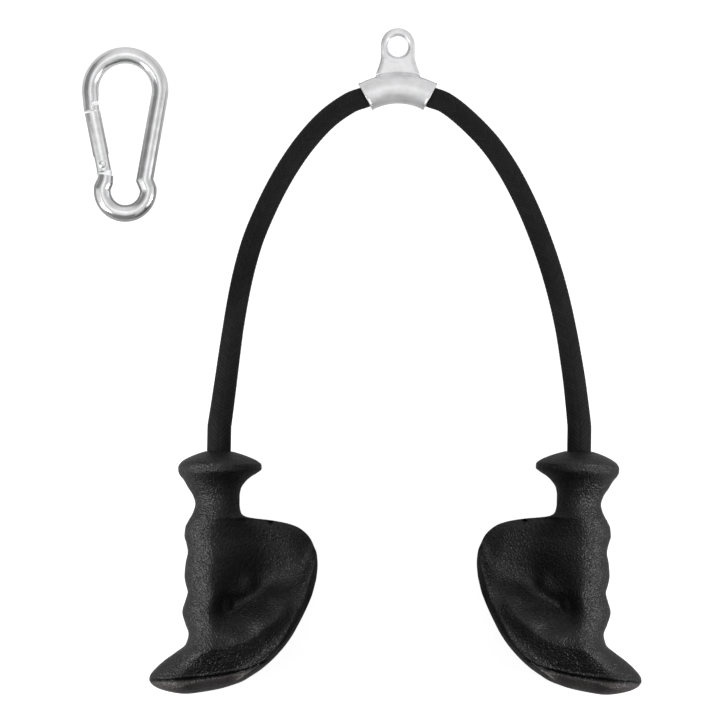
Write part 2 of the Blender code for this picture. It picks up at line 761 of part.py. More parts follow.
def make_grip(side, pivot, place, lean, mirror, rubber, nylon):
    """The turning pieces of one handle: moulded grip, inner liner and end plug."""
    swivel = add_pivot(f"{side}_grip_swivel", place, pivot, (-pi / 2, 0, lean))
    grip = add_object(f"grip_{side}", grip_mesh(f"grip_{side}", mirror), rubber, swivel)
    collar_bore = ROPE_END_RADIUS + RUNNING_GAP
    liner_radius = LINER_BORE + LINER_WALL
    bore = [
        (0, OVERRUN),
        (collar_bore, OVERRUN),
        (collar_bore, -COLLAR_DEPTH),
        (liner_radius + GAP, -COLLAR_DEPTH),
        (liner_radius + GAP, -RECESS_DEPTH),
        (RECESS_RADIUS, -RECESS_DEPTH),
        (RECESS_RADIUS, -GRIP_LENGTH - OVERRUN),
        (0, -GRIP_LENGTH - OVERRUN),
    ]
    cutter = turned_object(f"grip_bore_{side}", bore, None, swivel)
    move_to_cutters(cutter)
    add_boolean(grip, cutter, "DIFFERENCE")
    top = -COLLAR_DEPTH - GAP
    liner = [
        (liner_radius, top),
        (liner_radius, GAP - RECESS_DEPTH),
        (LINER_BORE, GAP - RECESS_DEPTH),
        (LINER_BORE, top),
    ]
    turned_object(f"liner_{side}", liner, nylon, swivel, ring=True)
    plug_top = -RECESS_DEPTH - WASHER_THICKNESS - FERRULE_LENGTH - 2 * GAP - PLUG_GAP
    radius = RECESS_RADIUS - GAP
    edge = EDGE_BREAK
    plug = [
        (0, plug_top),
        (radius, plug_top),
        (radius, plug_top - PLUG_THICKNESS + edge),
        (radius - edge, plug_top - PLUG_THICKNESS),
        (0, plug_top - PLUG_THICKNESS),
    ]
    turned_object(f"end_plug_{side}", plug, nylon, swivel)


def arc_points(centre, radius, start, end, steps):
    """Points round a circle in the plane of the hook."""
    points = []
    for k in range(steps + 1):
        angle = start + (end - start) * k / steps
        points.append(Vector((*centre, 0)) + radius * Vector((cos(angle), sin(angle), 0)))
    return points


def tangent_angle(point, centre, radius, side):
    """Where a line from a point touches a circle, as an angle round the circle."""
    x, y = point[0] - centre[0], point[1] - centre[1]
    return atan2(y, x) + side * acos(radius / hypot(x, y))


def frame_path():
    """The hook's wire from its nose over the bow, down to the small eye and up to the pivot."""
    bow = (0, HOOK_BOW_RISE)
    start = tangent_angle(NOSE_TIP, bow, HOOK_BOW_RADIUS, -1) + 2 * pi
    end = tangent_angle(NECK_PLACE, bow, HOOK_BOW_RADIUS, 1)
    nose = Vector((*NOSE_TIP, 0))
    points = [nose]
    points += arc_points(bow, HOOK_BOW_RADIUS, start, end, 18)
    points.append(Vector((*NECK_PLACE, 0)))
    points += arc_points((0, 0), HOOK_EYE_RADIUS, *NECK_ANGLES, 14)
    points += [Vector((*STUB_FOOT, 0)), Vector((*STUB_TOP, 0))]
    radii = [WIRE_RADIUS] * len(points)
    radii[0] = NOSE_RADIUS
    radii[-2] = (WIRE_RADIUS + STUB_RADIUS) / 2
    radii[-1] = STUB_RADIUS
    return points, radii


def make_hook(metal, spring_steel):
    """The snap hook, lying loose: bent frame, sprung gate, rivet, latch pin, plunger and spring."""
    hook = add_pivot("snap_hook_place", (*HOOK_PLACE, WIRE_RADIUS))
    gate_axis = add_pivot("gate_pivot", (*GATE_PIVOT, 0), hook, (0, 0, GATE_LEAN))
    points, radii = frame_path()
    wire = tube_mesh("snap_hook_frame", points, WIRE_RADIUS, radii, sides=16)
    frame = add_object("snap_hook_frame", wire, metal, hook)
    half = TONGUE_THICKNESS / 2
    foot = hypot(STUB_TOP[0] - GATE_PIVOT[0], STUB_TOP[1] - GATE_PIVOT[1]) + STUB_RADIUS / 2
    tongue = box_bmesh((-TONGUE_HALF_WIDTH, -foot, -half), (TONGUE_HALF_WIDTH, TONGUE_REACH, half))
    cut_with(frame, tongue, "frame_tongue", gate_axis, operation="UNION")
    hole = RIVET_RADIUS + GAP
    far = WIRE_RADIUS + OVERRUN
    cut_with(frame, rod_bmesh(hole, -far, far), "tongue_hole", gate_axis)
    nose_cut = box_bmesh((-far, GATE_LENGTH - far, -far), (far, GATE_LENGTH + GAP, far))
    cut_with(frame, nose_cut, "nose_end_cut", gate_axis)
    latch_low = LATCH_OFFSET - LATCH_WIDTH / 2
    latch_half = LATCH_THICKNESS / 2
    tip = GATE_LENGTH + LATCH_LENGTH
    slot = box_bmesh(
        (latch_low - GAP, GATE_LENGTH - OVERRUN, -latch_half - GAP),
        (far, tip + RUNNING_GAP, latch_half + GAP),
    )
    cut_with(frame, slot, "latch_slot", gate_axis)
    pin_y = GATE_LENGTH + LATCH_PIN_RISE
    pin_room = LATCH_PIN_RADIUS + GAP
    notch = box_bmesh(
        (LATCH_PIN_OFFSET - pin_room, pin_y - pin_room - GAP, -far),
        (far, pin_y + pin_room, far),
    )
    cut_with(frame, notch, "latch_notch", gate_axis)

    body = mesh_from(
        rod_bmesh(GATE_RADIUS, -GATE_TAIL, GATE_LENGTH, sides=24, along_y=True), "snap_hook_gate"
    )
    gate = add_object("snap_hook_gate", body, metal, gate_axis)
    latch = box_bmesh(
        (latch_low, GATE_LENGTH - OVERRUN, -latch_half),
        (latch_low + LATCH_WIDTH, tip, latch_half),
    )
    cut_with(gate, latch, "latch_tongue", gate_axis, operation="UNION")
    bore = rod_bmesh(GATE_BORE, -GATE_TAIL - OVERRUN, GATE_BORE_DEPTH, sides=20, along_y=True)
    cut_with(gate, bore, "gate_bore", gate_axis)
    fork = box_bmesh((-far, -GATE_TAIL - OVERRUN, -half - GAP), (far, FORK_REACH, half + GAP))
    cut_with(gate, fork, "gate_fork", gate_axis)
    cut_with(gate, rod_bmesh(hole, -far, far), "gate_rivet_hole", gate_axis)
    seat = GATE_RADIUS - RIVET_HEAD_THICKNESS
    head_hole = RIVET_HEAD_RADIUS + GAP
    cut_with(gate, rod_bmesh(head_hole, seat - GAP, far), "near_head_seat", gate_axis)
    cut_with(gate, rod_bmesh(head_hole, -far, GAP - seat), "far_head_seat", gate_axis)
    pin_hole = rod_bmesh(LATCH_PIN_RADIUS + GAP, -far, far, (LATCH_PIN_OFFSET, pin_y), 12)
    cut_with(gate, pin_hole, "latch_pin_hole", gate_axis)

    rivet_profile = [
        (0, GATE_RADIUS + RIVET_HEAD_THICKNESS / 2),
        (RIVET_HEAD_RADIUS * RIVET_CROWN_share, GATE_RADIUS + RIVET_HEAD_THICKNESS / 4),
        (RIVET_HEAD_RADIUS, seat + GAP),
        (RIVET_HEAD_RADIUS, seat),
        (RIVET_RADIUS, seat),
        (RIVET_RADIUS, -seat),
        (RIVET_HEAD_RADIUS, -seat),
        (RIVET_HEAD_RADIUS, -seat - GAP),
        (RIVET_HEAD_RADIUS * RIVET_CROWN_share, -GATE_RADIUS - RIVET_HEAD_THICKNESS / 4),
        (0, -GATE_RADIUS - RIVET_HEAD_THICKNESS / 2),
    ]
    turned_object("gate_rivet", rivet_profile, metal, hook, (*GATE_PIVOT, 0), steps=20)
    half_pin = LATCH_PIN_LENGTH / 2
    pin = mesh_from(rod_bmesh(LATCH_PIN_RADIUS, -half_pin, half_pin, sides=12), "latch_pin")
    add_object("latch_pin", pin, metal, gate_axis, (LATCH_PIN_OFFSET, pin_y, 0))
    plunger_low = TONGUE_REACH + GAP
    plunger_top = plunger_low + PLUNGER_LENGTH
    plunger = rod_bmesh(PLUNGER_RADIUS, 0, PLUNGER_LENGTH, sides=16, along_y=True)
    add_object("gate_plunger", mesh_from(plunger, "gate_plunger"), metal, gate_axis, (0, plunger_low, 0))
    low = plunger_top + GAP + SPRING_WIRE
    high = GATE_BORE_DEPTH - GAP - SPRING_WIRE
    coil = GATE_BORE - GAP - SPRING_WIRE - GAP
    steps = SPRING_TURNS * 9
    points = []
    for k in range(steps + 1):
        angle = 2 * pi * SPRING_TURNS * k / steps
        points.append((coil * cos(angle), low + (high - low) * k / steps, coil * sin(angle)))
    spring = tube_curve("gate_spring", points, SPRING_WIRE, sides=6)
    add_object("gate_spring", spring, spring_steel, gate_axis)


clear_scene()
PARTS = new_collection("triceps_rope_attachment")
CUTTERS = new_collection("cutters", hidden=True)
braid = new_material("black_braid", (0.025, 0.025, 0.027), 0.75, 0.0)
cast_metal = new_material("satin_casting", (0.70, 0.70, 0.71), 0.34, 1.0)
plated_wire = new_material("bright_plating", (0.78, 0.79, 0.80), 0.16, 1.0)
zinc = new_material("zinc_plated_steel", (0.55, 0.56, 0.58), 0.38, 1.0)
rubber = new_material("black_rubber", (0.030, 0.030, 0.032), 0.48, 0.0)
nylon = new_material("grey_nylon", (0.20, 0.20, 0.21), 0.55, 0.0)

make_hanger(cast_metal, braid)
for side, route, place, lean, mirror in (
    ("left", LEFT_ROUTE, LEFT_GRIP_PLACE, LEFT_GRIP_LEAN, True),
    ("right", RIGHT_ROUTE, RIGHT_GRIP_PLACE, RIGHT_GRIP_LEAN, False),
):
    leg, grip_top = make_leg(side, route, place, lean, mirror, braid, zinc)
    make_grip(side, leg, grip_top, lean, not mirror, rubber, nylon)
make_hook(plated_wire, zinc)
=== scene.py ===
from math import acos, atan2, cos, hypot, pi, radians, sin

import bpy
import numpy as np
from mathutils import Matrix, Vector


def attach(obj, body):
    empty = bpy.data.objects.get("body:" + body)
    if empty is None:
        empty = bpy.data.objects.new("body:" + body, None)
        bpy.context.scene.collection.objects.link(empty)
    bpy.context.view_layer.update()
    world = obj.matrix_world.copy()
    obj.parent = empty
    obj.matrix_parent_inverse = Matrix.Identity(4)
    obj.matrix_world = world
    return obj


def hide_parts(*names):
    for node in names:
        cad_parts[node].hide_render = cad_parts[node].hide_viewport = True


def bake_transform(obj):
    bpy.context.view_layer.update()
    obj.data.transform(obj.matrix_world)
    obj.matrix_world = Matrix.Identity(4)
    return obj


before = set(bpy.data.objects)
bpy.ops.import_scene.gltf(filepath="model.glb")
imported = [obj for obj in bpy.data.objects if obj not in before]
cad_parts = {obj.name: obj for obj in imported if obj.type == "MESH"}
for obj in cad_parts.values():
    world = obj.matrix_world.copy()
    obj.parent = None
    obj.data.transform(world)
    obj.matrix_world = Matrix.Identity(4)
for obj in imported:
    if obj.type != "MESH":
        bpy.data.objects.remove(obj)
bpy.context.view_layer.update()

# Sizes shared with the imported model, in metres
GAP = 0.0003
ROPE_RADIUS = 0.0062
ROPE_END_RADIUS = 0.0070
HANGER = Vector((0.0188, 0.1177, 0.0087))
BEND_RADIUS = 0.0389
BEND_HALF_ANGLE = radians(28.6)
SLEEVE_RADIUS = 0.0087
SLEEVE_BORE = 0.0068
GRIP_LENGTH = 0.139
GRIP_SPAN = 0.0962
FLANGE_RADIUS = 0.0232
COLUMN_DEPTH = 0.0155
RIM_DEPTH = 0.0208
RIM_ROUNDING = 0.0046
FILLET = 0.0055
COLLAR_DEPTH = 0.008
LINER_RADIUS = 0.0082
RECESS_RADIUS = 0.0120
RECESS_DEPTH = 0.104
RECESS_END = 0.1316
WASHER_THICKNESS = 0.0020
FERRULE_LENGTH = 0.0155
GRIPS = {
    "left": (Vector((-0.0834, -0.0506, FLANGE_RADIUS)), radians(-1.0)),
    "right": (Vector((0.1222, -0.0506, FLANGE_RADIUS)), radians(-0.8)),
}
# the rope's plait, for its mesh and its material
STRAND_COLUMNS = 8
STRAND_PITCH = 0.0024
STRAND_ROUNDNESS = 2.4
STRAND_TAPER = 0.45
YARNS_IN_STRAND = 4
# the rope's middle line outside the sleeve: left x and y, right x and y, and the height of both
ROUTES = (
    (-0.0085, 0.1487, 0.0459, 0.1487, 0.0087),
    (-0.0216, 0.1395, 0.0577, 0.1396, 0.0078),
    (-0.0339, 0.1262, 0.0709, 0.1261, 0.0068),
    (-0.0437, 0.1123, 0.0807, 0.1124, 0.0064),
    (-0.0515, 0.0987, 0.0884, 0.0987, 0.0063),
    (-0.0581, 0.0850, 0.0949, 0.0849, 0.0063),
    (-0.0638, 0.0712, 0.1004, 0.0712, 0.0063),
    (-0.0680, 0.0574, 0.1052, 0.0575, 0.0063),
    (-0.0712, 0.0438, 0.1093, 0.0437, 0.0063),
    (-0.0738, 0.0300, 0.1127, 0.0300, 0.0063),
    (-0.0760, 0.0163, 0.1155, 0.0164, 0.0067),
    (-0.0779, 0.0026, 0.1178, 0.0026, 0.0080),
    (-0.0797, -0.0112, 0.1198, -0.0112, 0.0118),
    (-0.0815, -0.0249, 0.1213, -0.0249, 0.0175),
)


# ==== workshop helpers ====


def pick_nothing():
    if bpy.context.object and bpy.context.object.mode != "OBJECT":
        bpy.ops.object.mode_set(mode="OBJECT")
    bpy.ops.object.select_all(action="DESELECT")


def pick(piece):
    pick_nothing()
    piece.select_set(True)
    bpy.context.view_layer.objects.active = piece


def new_piece(name, add, **settings):
    """A primitive from the add operator given, under its own name."""
    pick_nothing()
    add(**settings)
    piece = bpy.context.object
    piece.name = piece.data.name = name
    return piece


def settle(piece):
    """Puts the piece's place into its mesh."""
    pick(piece)
    bpy.ops.object.transform_apply(location=True, rotation=True, scale=True)


def set_up(thing, **settings):
    for key, value in settings.items():
        setattr(thing, key, value)
    return thing


def apply_modifiers(piece):
    pick(piece)
    for modifier in list(piece.modifiers):
        bpy.ops.object.modifier_apply(modifier=modifier.name)


def cut(piece, tool, operation="DIFFERENCE"):
    """Cuts the piece with a closed tool, or joins the tool to it, and uses the tool up."""
    modifier = piece.modifiers.new(tool.name, "BOOLEAN")
    set_up(modifier, operation=operation, solver="EXACT", object=tool)
    apply_modifiers(piece)
    bpy.data.objects.remove(tool)


def ramp(value, start, end):
    """From 0 at the start to 1 at the end, and level beyond both."""
    return np.clip((value - start) / (end - start), 0, 1)


def eased(t):
    return t * t * (3 - 2 * t)


def work_mesh(*steps):
    """Each step in turn on the whole mesh of the active piece."""
    bpy.ops.object.mode_set(mode="EDIT")
    for step in steps:
        bpy.ops.mesh.select_all(action="SELECT")
        step()
    bpy.ops.object.mode_set(mode="OBJECT")


def face_outward():
    bpy.ops.mesh.normals_make_consistent(inside=False)


def points_of(piece):
    places = np.empty(len(piece.data.vertices) * 3)
    piece.data.vertices.foreach_get("co", places)
    return places.reshape(-1, 3)


def move_points(piece, places):
    piece.data.vertices.foreach_set("co", places.reshape(-1))
    piece.data.update()


def soften(piece, angle=35):
    pick(piece)
    bpy.ops.object.shade_smooth_by_angle(angle=radians(angle))


def rolled_sheet(name, rings):
    """A closed tube rolled from a flat grid: each row becomes one section, and the seam is merged."""
    rings = np.asarray(rings, float)
    rows, sides = rings.shape[:2]
    piece = new_piece(
        name, bpy.ops.mesh.primitive_grid_add, x_subdivisions=sides, y_subdivisions=rows - 1, size=1
    )
    rolled = np.concatenate([rings, rings[:, :1]], axis=1)
    piece.data.vertices.foreach_set("co", rolled.reshape(-1))
    work_mesh(
        lambda: bpy.ops.mesh.remove_doubles(threshold=1e-7),
        lambda: bpy.ops.mesh.fill_holes(sides=0),
        face_outward,
    )
    bpy.ops.object.shade_smooth()
    return piece


def turned_piece(name, profile, sides=96):
    """A closed profile of (radius, height) points spun about the upright axis."""
    turn = 2 * pi * np.arange(sides) / sides
    rings = []
    for radius, height in profile:
        circle = max(radius, 1e-9) * np.stack([np.cos(turn), np.sin(turn)], 1)
        rings.append(np.column_stack([circle, np.full(sides, height)]))
    return rolled_sheet(name, rings)


def rod_rings(points, radii):
    """Sections along points, each with its own radius at each side, turning without a twist."""
    ahead = np.gradient(points, axis=0)
    ahead /= np.linalg.norm(ahead, axis=1)[:, None]
    side = np.array((0.0, 0.0, 1.0))
    ups = []
    for way in ahead:
        side = side - way * (side @ way)
        side /= np.linalg.norm(side)
        ups.append(side)
    ups = np.array(ups)
    across = np.cross(ahead, ups)
    turn = 2 * pi * np.arange(radii.shape[1]) / radii.shape[1]
    return (
        points[:, None] + (radii * np.cos(turn))[..., None] * ups[:, None]
        + (radii * np.sin(turn))[..., None] * across[:, None]
    )


# ==== shader groups ====


class Recipe:
    """Short hand for wiring one node tree."""

    def __init__(self, tree):
        self.tree = tree

    def add(self, kind, **settings):
        return set_up(self.tree.nodes.new(kind), **settings)

    def feed(self, socket, value):
        if isinstance(value, bpy.types.NodeSocket):
            self.tree.links.new(value, socket)
        else:
            socket.default_value = value

    def made(self, kind, inputs, **settings):
        """The outputs of a new node whose inputs are fed by name or number."""
        node = self.add(kind, **settings)
        for name, value in inputs.items():
            self.feed(node.inputs[name], value)
        return node.outputs

    def math(self, operation, *values):
        return self.made("ShaderNodeMath", dict(enumerate(values)), operation=operation)[0]

    def plus(self, a, b):
        return self.math("ADD", a, b)

    def minus(self, a, b):
        return self.math("SUBTRACT", a, b)

    def times(self, a, b):
        return self.math("MULTIPLY", a, b)

    def over(self, a, b):
        return self.math("DIVIDE", a, b)

    def split(self, vector):
        return self.made("ShaderNodeSeparateXYZ", {0: vector})[:]

    def spread(self, value, low, high, to_low=0.0, to_high=1.0, smooth=False):
        inputs = {"Value": value, "From Min": low, "From Max": high, "To Min": to_low, "To Max": to_high}
        kind = "SMOOTHSTEP" if smooth else "LINEAR"
        return self.made("ShaderNodeMapRange", inputs, interpolation_type=kind)[0]

    def noise(self, where, scale, detail=2.0, roughness=0.5):
        inputs = {"Vector": where, "Scale": scale, "Detail": detail, "Roughness": roughness}
        return self.made("ShaderNodeTexNoise", inputs)[0]

    def blend(self, share, a, b, mode="MIX"):
        inputs = {"Factor": share, 6: a, 7: b}
        return self.made("ShaderNodeMix", inputs, data_type="RGBA", blend_type=mode)[2]

    def bump(self, height, distance):
        return self.made("ShaderNodeBump", {"Height": height, "Distance": distance})[0]

    def group(self, group, **values):
        inputs = {name.replace("_", " "): value for name, value in values.items()}
        return self.made("ShaderNodeGroup", inputs, node_tree=group)


def new_group(name, inputs, outputs):
    """An empty shader group with the sockets given as name: (kind, value)."""
    tree = bpy.data.node_groups.new(name, "ShaderNodeTree")
    for label, (kind, value) in inputs.items():
        socket = tree.interface.new_socket(label, in_out="INPUT", socket_type=f"NodeSocket{kind}")
        if value is not None:
            socket.default_value = value
    for label, kind in outputs.items():
        tree.interface.new_socket(label, in_out="OUTPUT", socket_type=f"NodeSocket{kind}")
    recipe = Recipe(tree)
    return recipe, recipe.add("NodeGroupInput").outputs, recipe.add("NodeGroupOutput").inputs


def rubber_grain_group():
    """Fine moulded pebble: short wrinkled ridges round small grains, and a broad mottle."""
    r, given, out = new_group(
        "moulded_pebble",
        {"Place": ("Vector", None), "Grain size": ("Float", 0.001), "Softness": ("Float", 0.5)},
        {"Height": "Float", "Mottle": "Float"},
    )
    scale = r.over(1.0, given["Grain size"])
    worm = r.noise(given["Place"], scale, 1.5, 0.5)
    ridge = r.math("ABSOLUTE", r.times(r.minus(worm, 0.5), 5.0))
    ridge = r.math("MINIMUM", ridge, 1.0)
    inputs = {"Vector": given["Place"], "Scale": r.times(scale, 1.35)}
    grains = r.made("ShaderNodeTexVoronoi", inputs, feature="SMOOTH_F1")[0]
    pebbles = r.times(r.minus(1.0, grains), 0.7)
    height = r.plus(pebbles, r.times(ridge, 0.5))
    fine = r.noise(given["Place"], r.times(scale, 2.3), 2.0)
    height = r.plus(height, r.times(fine, given["Softness"]))
    r.feed(out["Height"], height)
    r.feed(out["Mottle"], r.noise(given["Place"], 90.0, 3.0, 0.6))
    return r.tree


def brushed_metal_group():
    """Marks of polishing and casting: fine lines along one direction over a soft mottle."""
    r, given, out = new_group(
        "worked_metal",
        {
            "Place": ("Vector", None),
            "Stretch": ("Vector", (1.0, 1.0, 1.0)),
            "Line scale": ("Float", 900.0),
            "Mottle scale": ("Float", 160.0),
        },
        {"Lines": "Float", "Mottle": "Float", "Height": "Float"},
    )
    inputs = {0: given["Place"], 1: given["Stretch"]}
    stretched = r.made("ShaderNodeVectorMath", inputs, operation="MULTIPLY")[0]
    lines = r.noise(stretched, given["Line scale"], 3.0, 0.6)
    mottle = r.noise(given["Place"], given["Mottle scale"], 3.0, 0.55)
    r.feed(out["Lines"], lines)
    r.feed(out["Mottle"], mottle)
    r.feed(out["Height"], r.plus(r.times(lines, 0.5), r.times(mottle, 0.5)))
    return r.tree


def braid_group():
    """Strands from the rope's own map: across runs once round the rope, along is in metres."""
    r, given, out = new_group(
        "braided_strands",
        {
            "Map": ("Vector", None),
            "Columns": ("Float", float(STRAND_COLUMNS)),
            "Pitch": ("Float", STRAND_PITCH),
        },
        {"Crown": "Float", "Yarn": "Float", "Tone": "Float"},
    )
    across, along, _ = r.split(given["Map"])
    columns = r.times(across, given["Columns"])
    turns = r.times(across, r.times(given["Columns"], 2.0))
    rows = r.over(along, given["Pitch"])
    wave = r.math("SINE", r.times(columns, pi))
    side = r.math("GREATER_THAN", wave, 0.0)
    way = r.minus(r.times(side, 2.0), 1.0)
    lean = r.plus(r.times(turns, way), r.plus(rows, r.times(side, 0.5)))
    part = r.math("FRACT", lean)
    number = r.math("FLOOR", lean)
    off = r.math("ABSOLUTE", r.minus(r.times(part, 2.0), 1.0))
    round_top = r.minus(1.0, r.math("POWER", off, STRAND_ROUNDNESS))
    ends = r.math("POWER", r.math("ABSOLUTE", wave), STRAND_TAPER)
    r.feed(out["Crown"], r.times(round_top, ends))
    yarn = r.math("SINE", r.times(part, 2 * pi * YARNS_IN_STRAND))
    r.feed(out["Yarn"], r.plus(r.times(yarn, 0.5), 0.5))
    mark = r.made("ShaderNodeCombineXYZ", {0: number, 1: r.math("FLOOR", columns)})[0]
    tone = r.made("ShaderNodeTexWhiteNoise", {"Vector": mark}, noise_dimensions="2D")
    r.feed(out["Tone"], tone["Value"])
    return r.tree


MOULDED_PEBBLE = rubber_grain_group()
WORKED_METAL = brushed_metal_group()
BRAIDED_STRANDS = braid_group()


# ==== materials ====


def new_material(name, **constants):
    """A Principled material with constants on its own sockets, and the recipe for its tree."""
    material = bpy.data.materials.new(name)
    material.use_nodes = True
    recipe = Recipe(material.node_tree)
    shader = material.node_tree.nodes["Principled BSDF"]
    for label, value in constants.items():
        shader.inputs[label.replace("_", " ")].default_value = value
    where = recipe.add("ShaderNodeTexCoord").outputs["Object"]
    return material, recipe, shader.inputs, where


def black_rubber():
    """Near black, its ridges a little paler, and painted light on the face of the base: a paler brownish
    grey there.
    """
    material, r, shader, where = new_material("black_rubber_pebbled", Specular_IOR_Level=0.50)
    grain = r.group(MOULDED_PEBBLE, Place=where, Grain_size=0.0015, Softness=0.10)
    dark = r.blend(grain["Mottle"], (0.0028, 0.0027, 0.0030, 1), (0.0044, 0.0041, 0.0043, 1))
    ridges = r.spread(grain["Height"], 0.45, 1.00, smooth=True)
    dark = r.blend(ridges, dark, (0.0095, 0.0091, 0.0094, 1))
    # painted light: the base's face below the parting line is painted a paler brownish grey over the
    # near black
    painted_light_base_face = r.add("ShaderNodeAttribute", attribute_name="painted_light_base_face").outputs["Fac"]
    r.feed(shader["Base Color"], r.blend(painted_light_base_face, dark, (0.092, 0.080, 0.081, 1)))
    r.feed(shader["Roughness"], r.spread(grain["Mottle"], 0.3, 0.7, 0.28, 0.38))
    r.feed(shader["Normal"], r.bump(grain["Height"], 0.00052))
    return material


def braided_rope():
    material, r, shader, where = new_material(
        "black_braided_polyester", Specular_IOR_Level=0.18, Sheen_Weight=0.05, Sheen_Roughness=0.4
    )
    run = r.add("ShaderNodeUVMap", uv_map="rope_map").outputs[0]
    strands = r.group(BRAIDED_STRANDS, Map=run)
    fibre = r.noise(where, 2600.0, 3.0, 0.6)
    tone = r.plus(r.times(strands["Tone"], 0.35), r.times(fibre, 0.65))
    lit = r.blend(tone, (0.0036, 0.0036, 0.0040, 1), (0.0165, 0.0165, 0.0176, 1))
    # painted shade: the strands' colour is darkened between their crowns, in the plait's grooves
    painted_groove_shade = r.spread(strands["Crown"], 0.15, 0.75, 0.70, 1.0, smooth=True)
    r.feed(shader["Base Color"], r.blend(1.0, lit, painted_groove_shade, "MULTIPLY"))
    r.feed(shader["Roughness"], r.spread(fibre, 0.3, 0.7, 0.62, 0.80))
    height = r.plus(r.times(strands["Yarn"], 0.25), r.times(fibre, 0.25))
    height = r.plus(height, strands["Crown"])
    r.feed(shader["Normal"], r.bump(height, 0.00022))
    return material


def cast_metal(name, tone, low, high, stretch, lines, depth):
    """A worked metal: its lightest tone, roughness from low to high, lines along a direction."""
    material, r, shader, where = new_material(name, Metallic=1.0)
    marks = r.group(WORKED_METAL, Place=where, Stretch=stretch, Line_scale=lines)
    pale = tuple(min(value * 1.04, 1) for value in tone)
    deep = tuple(value * 0.88 for value in tone)
    r.feed(shader["Base Color"], r.blend(r.spread(marks["Mottle"], 0.3, 0.7), (*deep, 1), (*pale, 1)))
    wear = r.plus(r.times(marks["Lines"], 0.5), r.times(marks["Mottle"], 0.5))
    r.feed(shader["Roughness"], r.spread(wear, 0.3, 0.7, low, high))
    r.feed(shader["Normal"], r.bump(marks["Height"], depth))
    return material


def moulded_nylon():
    material, r, shader, where = new_material("grey_nylon_moulded", Specular_IOR_Level=0.4)
    grain = r.group(MOULDED_PEBBLE, Place=where, Grain_size=0.0006, Softness=0.4)
    tone = r.blend(grain["Mottle"], (0.165, 0.165, 0.175, 1), (0.225, 0.225, 0.235, 1))
    r.feed(shader["Base Color"], tone)
    r.feed(shader["Roughness"], r.spread(grain["Mottle"], 0.3, 0.7, 0.48, 0.62))
    r.feed(shader["Normal"], r.bump(grain["Height"], 0.00004))
    return material


RUBBER = black_rubber()
BRAID = braided_rope()
CASTING = cast_metal("satin_casting", (0.88, 0.88, 0.89), 0.30, 0.42, (6.0, 0.35, 1.0), 420.0, 0.00006)
PLATING = cast_metal("bright_plating", (0.84, 0.84, 0.85), 0.12, 0.24, (1.0, 1.0, 1.0), 500.0, 0.00003)
ZINC = cast_metal("zinc_plate", (0.60, 0.61, 0.63), 0.28, 0.42, (1.0, 1.0, 1.0), 700.0, 0.00003)
NYLON = moulded_nylon()


def finish_piece(piece, material):
    piece.data.materials.clear()
    piece.data.materials.append(material)


# ==== camera, floor and lamps ====


VIEW_CENTRE = Vector((-0.00286, 0.00143, 0))
VIEW_WIDTH = 0.4118
VIEW_LEVEL = 0.012
CAMERA_HEIGHT = 6.0
SENSOR_WIDTH = 36


def set_camera():
    """From straight above, with the view's width measured at the middle of the pieces' height."""
    bpy.ops.object.camera_add(location=VIEW_CENTRE + Vector((0, 0, CAMERA_HEIGHT)), rotation=(0, 0, 0))
    camera = bpy.context.object
    lens = SENSOR_WIDTH * (CAMERA_HEIGHT - VIEW_LEVEL) / VIEW_WIDTH
    set_up(camera.data, sensor_width=SENSOR_WIDTH, lens=lens, clip_start=0.1, clip_end=60)
    bpy.context.scene.camera = camera


TABLE_SIZE = 6
TABLE_DROP = 0.0004
TABLE_GLOW = 0.94
MIRRORED_GLOW = (0.02, 0.42)
MIRRORED_GLOW_RISES = (0.10, 0.18)


def set_floor():
    """A white table that takes shadows, mirrored dark in front of the hanger and paler behind it."""
    bpy.ops.mesh.primitive_plane_add(size=TABLE_SIZE, location=(0, 0, -TABLE_DROP))
    floor = bpy.context.object
    floor.name = "white_table"
    material, r, _, where = new_material(
        "white_table", Base_Color=(0.80, 0.80, 0.80, 1), Roughness=0.9, Specular_IOR_Level=0.0
    )
    rays = r.add("ShaderNodeLightPath").outputs
    mirrored = rays["Is Glossy Ray"]
    seen = r.math("MAXIMUM", mirrored, rays["Is Transmission Ray"])
    seen = r.math("MAXIMUM", rays["Is Camera Ray"], seen)
    behind = r.spread(r.split(where)[1], *MIRRORED_GLOW_RISES, *MIRRORED_GLOW, smooth=True)
    strength = r.spread(mirrored, 0.0, 1.0, TABLE_GLOW, behind)
    glow = r.made("ShaderNodeEmission", {"Strength": strength})[0]
    matt = r.made("ShaderNodeBsdfDiffuse", {"Color": (0.42, 0.42, 0.42, 1)})[0]
    lit = r.made("ShaderNodeAddShader", {0: matt, 1: glow})[0]
    plain = r.tree.nodes["Principled BSDF"].outputs[0]
    surface = r.made("ShaderNodeMixShader", {0: seen, 1: plain, 2: lit})[0]
    r.feed(r.tree.nodes["Material Output"].inputs[0], surface)
    floor.data.materials.append(material)


def soft_lamp(name, place, size, power, aim):
    bpy.ops.object.light_add(type="AREA", location=place)
    lamp = bpy.context.object
    lamp.name = name
    set_up(lamp.data, shape="RECTANGLE", size=size[0], size_y=size[1], energy=power)
    lamp.rotation_euler = (Vector(aim) - Vector(place)).to_track_quat("-Z", "Y").to_euler()


SKY_OVERHEAD = 0.82
SKY_FALL_LEFT = 0.44
SKY_FALL_RIGHT = 0.22
SKY_FRONT_SHARE = 0.42
SKY_PANEL = 0.40


